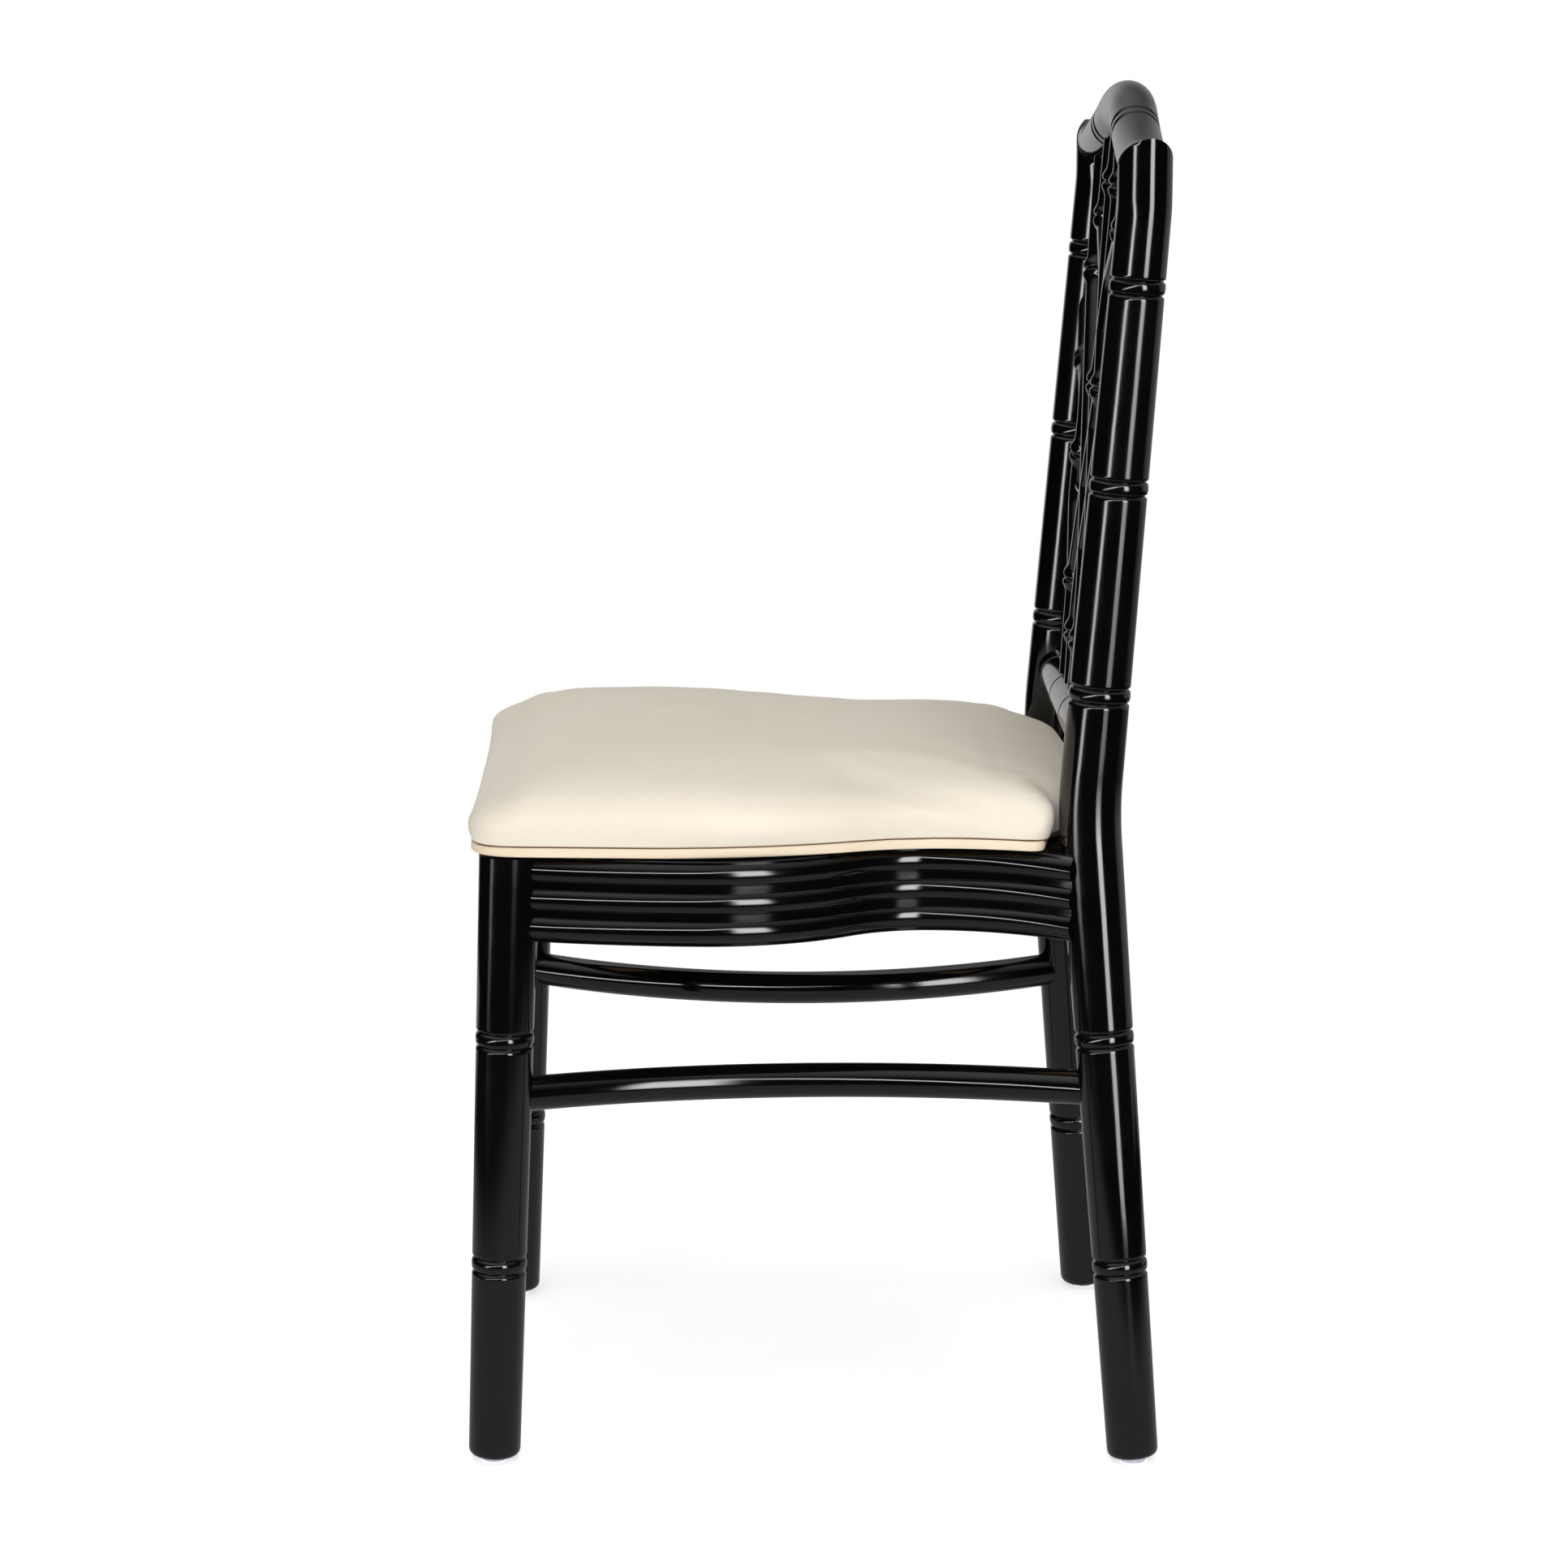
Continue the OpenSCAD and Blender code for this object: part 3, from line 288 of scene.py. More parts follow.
def turned_rod(path, radius_at, features, sides=48, pitch=9.0):
    """A turned rod along a path, with a station at each pitch and at each point of its features. features is
    a list of (distance, [(offset, change of radius), ...])."""
    clear_of_feature = 1.0
    least_radius = 0.05
    along = lengths(path)
    total = along[-1]
    marks = {}
    spans = []
    for where, shape in features:
        spans.append((where + shape[0][0], where + shape[-1][0]))
        for offset, change in shape:
            marks[round(where + offset, 4)] = change
    count = math.ceil(total / pitch)
    for k in range(count + 1):
        s = total * k / count
        if all(not (a - clear_of_feature < s < b + clear_of_feature) for a, b in spans):
            marks.setdefault(round(s, 4), 0.0)
    stations = sorted(marks)
    points = [at_length(path, along, s) for s in stations]
    radii = [max(least_radius, radius_at(s / total) + marks[s]) for s in stations]
    return rod(points, radii, sides)


def groove(width, depth):
    """One V cut whose lips are eased. The two outer points on each side keep the rod straight beside it."""
    w = width / 2
    half = [(w * 0.12, -depth * 0.96), (w * 0.78, -0.3), (w, -0.12), (w + 0.6, 0), (w + 1.5, 0)]
    return [(-x, change) for x, change in reversed(half)] + [(0, -depth)] + half


def shifted(shape, offset):
    """The shape, moved along the rod by offset."""
    return [(where + offset, change) for where, change in shape]


def ring(sizes):
    """A turned ring: two V cuts with a rounded bead between them."""
    half = sizes.ring_pitch / 2
    lip = 0.2
    bead_rise = 0.3
    bead_fall = 0.42
    cut = groove(sizes.cut_width, sizes.cut_depth)
    lower = [p for p in shifted(cut, -half) if p[0] < -half + sizes.cut_width / 2 - lip]
    upper = [p for p in shifted(cut, half) if p[0] > half - sizes.cut_width / 2 + lip]
    bead = [(k * (half - sizes.cut_width * 0.45) / 3, bead_rise - bead_fall * (k / 3) ** 2)
        for k in range(-3, 4)]
    return lower + bead + upper


def to_seat(obj):
    """Lays a piece that was made on the level on the seat's slope."""
    alone(obj)
    obj.matrix_world = Matrix.Translation((0, 0, RAIL_Z * MM)) @ Matrix.Rotation(-SEAT_FALL, 4, "X")
    bpy.ops.object.transform_apply(location=True, rotation=True, scale=True)
    return obj


SEAT_NORMAL = Vector((0, math.sin(SEAT_FALL), math.cos(SEAT_FALL)))


# Node materials


def add(tree, kind, inputs=None, stops=(), **settings):
    """Adds a node with its settings, and sets or links its inputs. stops are a ramp's (position, colour)."""
    node = tree.nodes.new(kind)
    for key, value in settings.items():
        setattr(node, key, value)
    for i, (position, colour) in enumerate(stops):
        node.color_ramp.elements[i].position = position
        node.color_ramp.elements[i].color = colour
    for key, value in (inputs or {}).items():
        if isinstance(value, bpy.types.NodeSocket):
            tree.links.new(value, node.inputs[key])
        else:
            node.inputs[key].default_value = value
    return node


def new_material(name):
    """An empty node material, and its tree."""
    material = bpy.data.materials.new(name)
    material.use_nodes = True
    tree = material.node_tree
    tree.nodes.clear()
    return material, tree


def finish(material, tree, inputs):
    """Ends a material with a shader that has these inputs."""
    shader = add(tree, "ShaderNodeBsdfPrincipled", inputs)
    add(tree, "ShaderNodeOutputMaterial", {"Surface": shader.outputs["BSDF"]})
    return material


def grey(value):
    """A neutral RGBA of this value."""
    return (value, value, value, 1.0)


def black_lacquer(name, grain, colour, roughest=0.13):
    """Sprayed gloss lacquer on turned beech: deep black, mirror sharp, with the sanded wood's long swells
    just showing in its reflections, and a faint unevenness where it was rubbed down. grain is the piece's
    long direction, and roughest the roughness of its dullest patches."""
    material, tree = new_material(name)
    place = add(tree, "ShaderNodeTexCoord").outputs["Object"]
    # Long swells of the sanded wood under the film, about 10 mm wide and 70 mm long
    squeeze = [1000 / 70 if axis == grain else 1000 / 10 for axis in "XYZ"]
    stretched = add(tree, "ShaderNodeMapping", {"Vector": place, "Scale": squeeze}).outputs["Vector"]
    swells = add(tree, "ShaderNodeTexNoise", {
        "Vector": stretched, "Scale": 1.0, "Detail": 1.0, "Roughness": 0.4,
    })
    # Sprayed surface: shallow swells about 14 mm apart
    dimples = add(tree, "ShaderNodeTexNoise", {"Vector": place, "Scale": 1000 / 14, "Detail": 0.0})
    # Rubbed patches about 60 mm across
    patches = add(tree, "ShaderNodeTexNoise", {"Vector": place, "Scale": 1000 / 60, "Detail": 4.0})
    rough = add(tree, "ShaderNodeMapRange", {
        "Value": patches.outputs["Fac"], "From Min": 0.35, "From Max": 0.7,
        "To Min": roughest - 0.06, "To Max": roughest,
    })
    tint = add(tree, "ShaderNodeValToRGB", {"Fac": patches.outputs["Fac"]},
        stops=[(0.3, hex_colour(colour)), (0.75, hex_colour("#0C0B0C"))])
    shallow = add(tree, "ShaderNodeBump", {
        "Height": dimples.outputs["Fac"], "Strength": 0.05, "Distance": 0.0006,
    })
    relief = add(tree, "ShaderNodeBump", {
        "Height": swells.outputs["Fac"], "Strength": 0.1, "Distance": 0.001,
        "Normal": shallow.outputs["Normal"],
    })
    return finish(material, tree, {
        "Base Color": tint.outputs["Color"], "Roughness": rough.outputs["Result"], "IOR": 1.5,
        "Normal": relief.outputs["Normal"],
    })


def leatherette(name, colour, shade, seam_shade_height=None):
    """Coated upholstery cloth: a soft satin cream with a fine pebbled grain and faint stretch marks. Below
    the height seam_shade_height over the seat rails' lower edge, in mm, it turns brown: painted shade
    standing in for the shadow in the seam's crease."""
    material, tree = new_material(name)
    place = add(tree, "ShaderNodeTexCoord").outputs["Object"]
    # Pebbles about 1.4 mm across
    pebbles = add(tree, "ShaderNodeTexVoronoi", {"Vector": place, "Scale": 1000 / 1.4}, feature="SMOOTH_F1")
    # Slow drift of the coating's tone, over about 90 mm
    drift = add(tree, "ShaderNodeTexNoise", {
        "Vector": place, "Scale": 1000 / 90, "Detail": 5.0, "Roughness": 0.6,
    })
    tone = add(tree, "ShaderNodeValToRGB", {"Fac": drift.outputs["Fac"]},
        stops=[(0.35, hex_colour(colour)), (0.75, hex_colour(shade))]).outputs["Color"]
    # Painted shade: below the seam's height the cover is coloured dark brown, for the shadow in the seam's
    # crease
    if seam_shade_height:
        soft = 0.4
        height = add(tree, "ShaderNodeVectorMath", {0: place, 1: SEAT_NORMAL}, operation="DOT_PRODUCT")
        clear = add(tree, "ShaderNodeMapRange", {
            "Value": height.outputs["Value"],
            "From Min": (RAIL_Z + seam_shade_height - soft) * MM, "From Max": (RAIL_Z + seam_shade_height + soft) * MM,
        })
        # The mix node's colour sockets are its inputs 6 and 7, and its output 2
        painted_seam_shade = add(tree, "ShaderNodeMix", {0: clear.outputs["Result"], 6: hex_colour("#6B4A2A"), 7: tone},
            data_type="RGBA")
        tone = painted_seam_shade.outputs[2]
    rough = add(tree, "ShaderNodeMapRange", {
        "Value": drift.outputs["Fac"], "From Min": 0.3, "From Max": 0.7, "To Min": 0.46, "To Max": 0.56,
    })
    slack = add(tree, "ShaderNodeBump", {
        "Height": drift.outputs["Fac"], "Strength": 0.12, "Distance": 0.002,
    })
    relief = add(tree, "ShaderNodeBump", {
        "Height": pebbles.outputs["Distance"], "Strength": 0.12, "Distance": 0.0003,
        "Normal": slack.outputs["Normal"],
    })
    return finish(material, tree, {
        "Base Color": tone, "Roughness": rough.outputs["Result"], "IOR": 1.45, "Sheen Weight": 0.08,
        "Sheen Roughness": 0.5, "Normal": relief.outputs["Normal"],
    })


def bare_beech(name):
    """Sawn and sanded beech: pale tan with short dark flecks along the grain."""
    material, tree = new_material(name)
    place = add(tree, "ShaderNodeTexCoord").outputs["Object"]
    stretched = add(tree, "ShaderNodeMapping", {"Vector": place, "Scale": (40, 450, 450)}).outputs["Vector"]
    flecks = add(tree, "ShaderNodeTexNoise", {"Vector": stretched, "Scale": 1.0, "Detail": 4.0})
    tone = add(tree, "ShaderNodeValToRGB", {"Fac": flecks.outputs["Fac"]},
        stops=[(0.35, hex_colour("#B98F62")), (0.65, hex_colour("#DDBD92"))])
    relief = add(tree, "ShaderNodeBump", {
        "Height": flecks.outputs["Fac"], "Strength": 0.2, "Distance": 0.0003,
    })
    return finish(material, tree, {
        "Base Color": tone.outputs["Color"], "Roughness": 0.62, "IOR": 1.5,
        "Normal": relief.outputs["Normal"],
    })


def zinc_steel(name):
    """Zinc plated steel of screws, nails and staples: grey, with a gloss that is finely uneven."""
    material, tree = new_material(name)
    place = add(tree, "ShaderNodeTexCoord").outputs["Object"]
    scratches = add(tree, "ShaderNodeTexNoise", {"Vector": place, "Scale": 1000 / 0.8, "Detail": 2.0})
    rough = add(tree, "ShaderNodeMapRange", {
        "Value": scratches.outputs["Fac"], "To Min": 0.25, "To Max": 0.45,
    })
    return finish(material, tree, {
        "Base Color": hex_colour("#B9BABD"), "Metallic": 1.0, "Roughness": rough.outputs["Result"],
    })


def woven_black(name):
    """Black polyester: tape hooks and base cloth, matte, with a plain weave."""
    material, tree = new_material(name)
    place = add(tree, "ShaderNodeTexCoord").outputs["Object"]
    # The real threads are too fine to show, so the weave is drawn with a pitch of 7.5 mm: the wave texture
    # turns through 20 radians in 24 mm
    threads = 1000 / 24
    weft = add(tree, "ShaderNodeTexWave", {"Vector": place, "Scale": threads, "Distortion": 0.3},
        bands_direction="X")
    warp = add(tree, "ShaderNodeTexWave", {"Vector": place, "Scale": threads, "Distortion": 0.3},
        bands_direction="Y")
    weave = add(tree, "ShaderNodeMath", {0: weft.outputs["Fac"], 1: warp.outputs["Fac"]},
        operation="MULTIPLY").outputs["Value"]
    tone = add(tree, "ShaderNodeValToRGB", {"Fac": weave},
        stops=[(0.1, hex_colour("#121214")), (0.9, hex_colour("#2A2A2D"))])
    relief = add(tree, "ShaderNodeBump", {"Height": weave, "Strength": 0.4, "Distance": 0.0003})
    return finish(material, tree, {
        "Base Color": tone.outputs["Color"], "Roughness": 0.85, "IOR": 1.45, "Sheen Weight": 0.2,
        "Normal": relief.outputs["Normal"],
    })


def glide_nylon(name, colour):
    """Moulded nylon glide: pale, a little milky, scuffed where it slides."""
    material, tree = new_material(name)
    place = add(tree, "ShaderNodeTexCoord").outputs["Object"]
    scuffs = add(tree, "ShaderNodeTexNoise", {"Vector": place, "Scale": 1000 / 3, "Detail": 5.0})
    tone = add(tree, "ShaderNodeValToRGB", {"Fac": scuffs.outputs["Fac"]},
        stops=[(0.3, hex_colour(colour)), (0.8, hex_colour("#B4B6C6"))])
    rough = add(tree, "ShaderNodeMapRange", {"Value": scuffs.outputs["Fac"], "To Min": 0.32, "To Max": 0.5})
    return finish(material, tree, {
        "Base Color": tone.outputs["Color"], "Roughness": rough.outputs["Result"], "IOR": 1.53,
        "Subsurface Weight": 0.1, "Subsurface Radius": (0.002, 0.002, 0.002),
    })


MATERIALS = {}


def material(name):
    """The named finish, made when a piece first asks for it."""
    colours = bpy.context.scene.chair_colours
    makers = {
        "lacquer_upright": lambda n: black_lacquer(n, "Z", colours.lacquer),
        "lacquer_across": lambda n: black_lacquer(n, "X", colours.lacquer),
        "lacquer_fore_and_aft": lambda n: black_lacquer(n, "Y", colours.lacquer),
        # The same paint left dull, on the panel under the pad
        "dull_black_panel": lambda n: black_lacquer(n, "X", colours.lacquer, 0.55),
        # The cover is painted with the seam's shade up to the seam's height
        "ivory_leatherette": lambda n: leatherette(n, colours.pad, colours.pad_shade, PAD_BASE + SEAM_RISE),
        "ivory_band": lambda n: leatherette(n, colours.band, colours.band_shade),
        "bare_beech": bare_beech,
        "zinc_steel": zinc_steel,
        "woven_black": woven_black,
        "glide_nylon": lambda n: glide_nylon(n, colours.glide),
    }
    if name not in MATERIALS:
        MATERIALS[name] = makers[name](name)
    return MATERIALS[name]


def dress_black(obj, name, finish_name, node):
    """Dresses a lacquered piece of the frame, which takes the place of one CAD node."""
    return dress(obj, name, material(finish_name), "black_lacquer", "chair", node)


def dress_pair(left, right, name, finish_name, node):
    """Dresses a lacquered piece of the left side and its mirror image."""
    dress_black(left, name + "_left", finish_name, node + "_left")
    dress_black(right, name + "_right", finish_name, node + "_right")


class FrameSizes(bpy.types.PropertyGroup):
    """Diameters and ring sizes of the turned frame"""

    leg_foot: FloatProperty(name="Front leg foot", description="Diameter of a front leg at the floor, in mm",
        default=35.0, min=30, max=40)
    leg_top: FloatProperty(name="Front leg top", description="Diameter of a front leg at the seat, in mm",
        default=40.2, min=34, max=46)
    post_foot: FloatProperty(name="Rear post foot",
        description="Diameter of a rear post at the floor, in mm", default=34.4, min=30, max=40)
    post_knee: FloatProperty(name="Rear post knee",
        description="Diameter of a rear post at its bend, in mm", default=POST_KNEE_THICK, min=38, max=45)
    post_top: FloatProperty(name="Rear post top",
        description="Diameter of a rear post under the crest, in mm", default=35.8, min=32, max=39)
    crest: FloatProperty(name="Crest rail", description="Diameter of the crest rail, in mm",
        default=33.0, min=30, max=34.5)
    back_rail: FloatProperty(name="Lower back rail", description="Diameter of the lower back rail, in mm",
        default=31.0, min=24, max=33)
    stretcher: FloatProperty(name="Stretcher", description="Diameter of a side stretcher, in mm",
        default=23.5, min=20, max=27)
    stick: FloatProperty(name="Bamboo stick", description="Diameter of a stick of the lattice, in mm",
        default=17.0, min=14, max=19)
    knot: FloatProperty(name="Knot", description="Diameter of a knot of the lattice, in mm",
        default=22.0, min=21, max=26)
    ring_pitch: FloatProperty(name="Ring pitch",
        description="Distance between the two cuts of a ring, in mm", default=9.5, min=7, max=12)
    cut_width: FloatProperty(name="Cut width", description="Width of a V cut, in mm",
        default=3.5, min=2, max=5)
    cut_depth: FloatProperty(name="Cut depth", description="Depth of a V cut, in mm",
        default=1.8, min=0.8, max=2.6)


class PadSizes(bpy.types.PropertyGroup):
    """Shape of the loose seat pad"""

    tuck: FloatProperty(name="Tuck", description="How far the side is drawn in at its lower edge, in mm",
        default=5.5, min=4, max=9)
    pressure: FloatProperty(name="Pressure", description="Pressure that swells the foam against its cover",
        default=2.0, min=0, max=10)
    swell: FloatProperty(name="Most swelling",
        description="Furthest that a point of the pad may move, in mm", default=5.0, min=1, max=16)


class Colours(bpy.types.PropertyGroup):
    """Colours of the finishes, as sRGB hex values"""

    lacquer: StringProperty(name="Lacquer", description="Black of the lacquered frame", default="#050505")
    pad: StringProperty(name="Pad", description="Cream of the pad's cover", default="#F2E9D8")
    pad_shade: StringProperty(name="Pad shade", description="Duller patches of the cover", default="#ECE2CF")
    band: StringProperty(name="Band", description="Cream of the band round the pad", default="#F6E5CB")
    band_shade: StringProperty(name="Band shade", description="Duller patches of the band",
        default="#EFDCBF")
    glide: StringProperty(name="Glide", description="Nylon of the foot glides", default="#D3D5E4")


class ChairOperator:
    """What every step of the build shares"""

    bl_options = {"REGISTER", "UNDO"}


class CHAIR_OT_front_legs(ChairOperator, bpy.types.Operator):
    """Turn the two front legs, each with two rings and a rounded foot"""

    bl_idname = "chair.front_legs"
    bl_label = "Front legs"

    def execute(self, context):
        sizes = context.scene.chair_frame
        path = [LEG_FOOT + LEG_UP * GLIDE_TOP, LEG_FOOT + LEG_UP * LEG_LENGTH]
        features = [(0, FOOT_EDGE)] + [(z - GLIDE_TOP, ring(sizes)) for z in LEG_RINGS]
        r0 = sizes.leg_foot / 2
        r1 = sizes.leg_top / 2
        leg = turned_rod(path, lambda t: r0 + (r1 - r0) * t, features)
        cut_by(leg, (0, 0, RAIL_Z + RAIL_HEIGHT), SEAT_NORMAL)
        smoothed(leg)
        dress_pair(leg, mirrored_copy(leg), "front_leg_turned", "lacquer_upright", "front_leg")
        return {"FINISHED"}


def crest_fall(x):
    """How far the crest's axis lies below its middle, along its leaning plane."""
    x = abs(x)
    half = CREST_SWEEP * math.sin(CREST_SLOPE)
    if x < half:
        return CREST_SWEEP - math.sqrt(CREST_SWEEP**2 - x * x)
    slope = math.asin(math.sin(CREST_SLOPE) - (x - half) / CREST_HOLLOW)
    swept_fall = CREST_SWEEP * (1 - math.cos(CREST_SLOPE))
    return swept_fall + CREST_HOLLOW * (math.cos(slope) - math.cos(CREST_SLOPE))


def crest_at(x):
    """The place of the crest's axis, x from the middle."""
    return CREST_MID + Vector((x, 0, 0)) - CREST_UP * crest_fall(x)


# The mitre's plane between the left post and the crest passes this far over the crest's axis
MITRE_RISE = 3
MITRE_AT = Vector((NECK.x, NECK.y, crest_at(NECK.x).z + MITRE_RISE))
MITRE_NORMAL = Vector((-math.tan(MITRE_SLOPE), -math.tan(MITRE_TILT), 1)).normalized()

# The plane that rubs down the tip of the right post's mitre: where it lies over the crest, and its normal
TIP_X = -170
TIP_CLEAR = 1.4
TIP_NORMAL = Vector((-0.155, 0, 0.988))


class CHAIR_OT_rear_posts(ChairOperator, bpy.types.Operator):
    """Turn the two rear posts, bent at the seat and under the crest, each with five rings"""

    bl_idname = "chair.rear_posts"
    bl_label = "Rear posts"

    def execute(self, context):
        sizes = context.scene.chair_frame
        path = filleted([FOOT + SHIN * GLIDE_TOP, KNEE, NECK, NECK + UP * ABOVE_NECK],
            [KNEE_BEND, NECK_BEND])
        along = lengths(path)
        features = [(0, FOOT_EDGE)] + [(length_at_height(path, along, z), ring(sizes)) for z in POST_RINGS]
        knee = length_at_height(path, along, KNEE.z) / along[-1]
        neck = length_at_height(path, along, NECK.z) / along[-1]
        # The bend keeps its full thickness over this share of the post, on either side of the knee
        stout = 0.03
        stops = [(0, sizes.post_foot / 2), (knee - stout, sizes.post_knee / 2),
            (knee + stout, sizes.post_knee / 2), (neck, sizes.post_top / 2), (1, sizes.post_top / 2)]

        def radius_at(t):
            """The post's radius, at the share t of its length."""
            for (t0, r0), (t1, r1) in zip(stops, stops[1:]):
                if t <= t1:
                    return r0 + (r1 - r0) * (t - t0) / (t1 - t0)
            return stops[-1][1]

        post = turned_rod(path, radius_at, features, pitch=3.5)
        cut_by(post, MITRE_AT, MITRE_NORMAL)
        other = mirrored_copy(post)
        # On the right the mitre's tip is rubbed down to the crest. On the left the crest flares up to it.
        cut_by(other, crest_at(TIP_X) + CREST_UP * (sizes.crest / 2 + TIP_CLEAR), TIP_NORMAL)
        for each in (post, other):
            ease_edges(each, degrees=40, width=2.6)
            smoothed(each)
        dress_pair(post, other, "rear_post_turned", "lacquer_upright", "rear_post")
        return {"FINISHED"}


def ease_edges(obj, degrees, width):
    """Rounds a piece's sharp edges by width, in millimetres."""
    bevel = obj.modifiers.new("ease", "BEVEL")
    bevel.width = width * MM
    bevel.segments = 3
    bevel.limit_method = "ANGLE"
    bevel.angle_limit = math.radians(degrees)
    bevel.harden_normals = False
    apply_modifiers(obj)


class CHAIR_OT_crest_rail(ChairOperator, bpy.types.Operator):
    """Bend the crest rail, cut its two pairs of fine grooves and mitre its ends"""

    bl_idname = "chair.crest_rail"
    bl_label = "Crest rail"

    def execute(self, context):
        sizes = context.scene.chair_frame
        # The rod runs past its mitres and is cut back. On the left its end lifts, up to the tip of the post.
        reach = 178
        lift = 3
        lift_from = 148
        lift_over = 26
        path = [crest_at(x) + UP * lift * eased((x - lift_from) / lift_over)
            for x in range(-reach, reach + 1, 2)]
        along = lengths(path)
        middle = along[-1] / 2
        features = []
        for side in (-1, 1):
            for x in (66.5, 77.5):
                reach_to = lengths([crest_at(k) for k in range(0, int(x) + 1)] + [crest_at(x)])[-1]
                features.append((middle + side * reach_to, groove(width=5.2, depth=2.5)))

        # The ends swell towards the posts' thickness, from this far off the rod's ends
        flare_from = 30
        flare_over = 20
        flare_left = 1.8
        flare_right = 1.2

        def radius_at(t):
            """The crest's radius, at the share t of its length."""
            flare = flare_left if t > 0.5 else flare_right
            past = abs(t - 0.5) * along[-1] - middle + flare_from
            return sizes.crest / 2 + flare * eased(past / flare_over)

        crest = turned_rod(path, radius_at, features, pitch=4.0)
        for side in (1, -1):
            point = Vector((side * MITRE_AT.x, MITRE_AT.y, MITRE_AT.z))
            normal = Vector((-side * MITRE_NORMAL.x, -MITRE_NORMAL.y, -MITRE_NORMAL.z))
            cut_by(crest, point, normal)
        ease_edges(crest, degrees=50, width=0.9)
        smoothed(crest)
        dress_black(crest, "crest_rail_bent", "lacquer_across", "crest_rail")
        return {"FINISHED"}


# The lower back rail lies 1 mm behind the posts' axes, and the lattice leans from it to the crest
BACK_RAIL_Y = KNEE.y + (NECK.y - KNEE.y) * (BACK_RAIL_Z - KNEE.z) / (NECK.z - KNEE.z) + 1
LATTICE_TOP = crest_at(60)
LATTICE_SLOPE = (LATTICE_TOP.y - BACK_RAIL_Y) / (LATTICE_TOP.z - BACK_RAIL_Z)


class CHAIR_OT_lower_back_rail(ChairOperator, bpy.types.Operator):
    """Turn the straight rail that carries the lattice, with its fine grooves"""

    bl_idname = "chair.lower_back_rail"
    bl_label = "Lower back rail"

    def execute(self, context):
        sizes = context.scene.chair_frame
        half = 156
        cut_pitch = 78
        path = [Vector((-half, BACK_RAIL_Y, BACK_RAIL_Z)), Vector((half, BACK_RAIL_Y, BACK_RAIL_Z))]
        features = [(half + (k - 1.5) * cut_pitch, groove(width=3.0, depth=1.5)) for k in range(4)]
        rail = turned_rod(path, lambda t: sizes.back_rail / 2, features)
        smoothed(rail)
        dress_black(rail, "lower_back_rail_turned", "lacquer_across", "lower_back_rail")
        return {"FINISHED"}


def in_lattice(x, z):
    """A place on the lattice's leaning plane."""
    return Vector((x, BACK_RAIL_Y + (z - BACK_RAIL_Z) * LATTICE_SLOPE, z))


# Each stick: its places (across, height, knot or not), from its upper end to its lower one
STICKS = {
    "arch_stick": [(60, crest_at(60).z, 0), (68, 818, 1), (16, 783, 0), (-16, 709, 1), (8, 665, 0),
        (62, 567, 1), (54, BACK_RAIL_Z, 0)],
    "eye_stick": [(10, crest_at(10).z, 0), (24, 848, 1), (17, 784, 0)],
    "long_stick": [(127, crest_at(127).z, 0), (110, 778, 1), (-10, 579, 0), (-20, 534, 1),
        (-10, BACK_RAIL_Z, 0)],
    "side_stick": [(157, 772, 0), (125, 713, 1), (76, 690, 0), (94, 651, 1), (101, 619, 0), (62, 567, 0)],
}


def knot_shape(rise):
    """A bamboo knot: two swellings that meet in a crease."""
    half = [(0.25, 0.2), (0.9, 0.6), (2, 0.92), (3.4, 1), (5, 0.85), (7, 0.45), (9, 0.12), (11, 0)]
    return [(-x, share * rise) for x, share in reversed(half)] + [(x, share * rise) for x, share in half]


class CHAIR_OT_lattice(ChairOperator, bpy.types.Operator):
    """Bend the eight bamboo sticks of the back's lattice, with a knot at each joint of the cane"""

    bl_idname = "chair.lattice"
    bl_label = "Back lattice"

    def execute(self, context):
        sizes = context.scene.chair_frame
        rise = (sizes.knot - sizes.stick) / 2
        bend_at_knot = 16
        bend_between = 26
        for name, places in STICKS.items():
            turns = [in_lattice(x, z) for x, z, _ in places]
            bends = [bend_at_knot if knot else bend_between for _, _, knot in places[1:-1]]
            path = filleted(turns, bends, pitch=2.0)
            along = lengths(path)
            features = []
            for corner, (_, _, knot) in zip(turns, places):
                if knot:
                    nearest = min(range(len(path)), key=lambda i: (path[i] - corner).length)
                    features.append((along[nearest], knot_shape(rise)))
            stick = turned_rod(path, lambda t: sizes.stick / 2, features, sides=32, pitch=4.0)
            smoothed(stick, 50)
            dress_pair(stick, mirrored_copy(stick), name + "_bent", "lacquer_upright", name)
        return {"FINISHED"}


def reeded_section():
    """The section of a seat rail, (outwards, up): a flat board with three half-round reeds on its face."""
    reeds = 3
    radius = 9.2
    rise = 3.5
    back_edge = 1.0
    front_edge = 0.7
    face = -rise
    pitch = RAIL_HEIGHT / reeds
    half = math.asin(math.sqrt(radius**2 - (radius - rise) ** 2) / radius)
    section = [(-RAIL_THICK, back_edge), (-RAIL_THICK + back_edge, 0.0), (face - front_edge, 0.0),
        (face, front_edge)]
    for k in range(reeds):
        middle = (k + 0.5) * pitch
        for i in range(-8, 9):
            turn = half * i / 8
            section.append((-radius + radius * math.cos(turn), middle + radius * math.sin(turn)))
    section += [(face, RAIL_HEIGHT - front_edge), (face - front_edge, RAIL_HEIGHT),
        (-RAIL_THICK + back_edge, RAIL_HEIGHT), (-RAIL_THICK, RAIL_HEIGHT - back_edge)]
    return section


def plan_arc(centre, radius, start, end, steps):
    """Points of an arc on the level; the angles are in radians."""
    return [Vector((centre[0] + radius * math.cos(start + (end - start) * k / steps),
        centre[1] + radius * math.sin(start + (end - start) * k / steps), 0)) for k in range(steps + 1)]


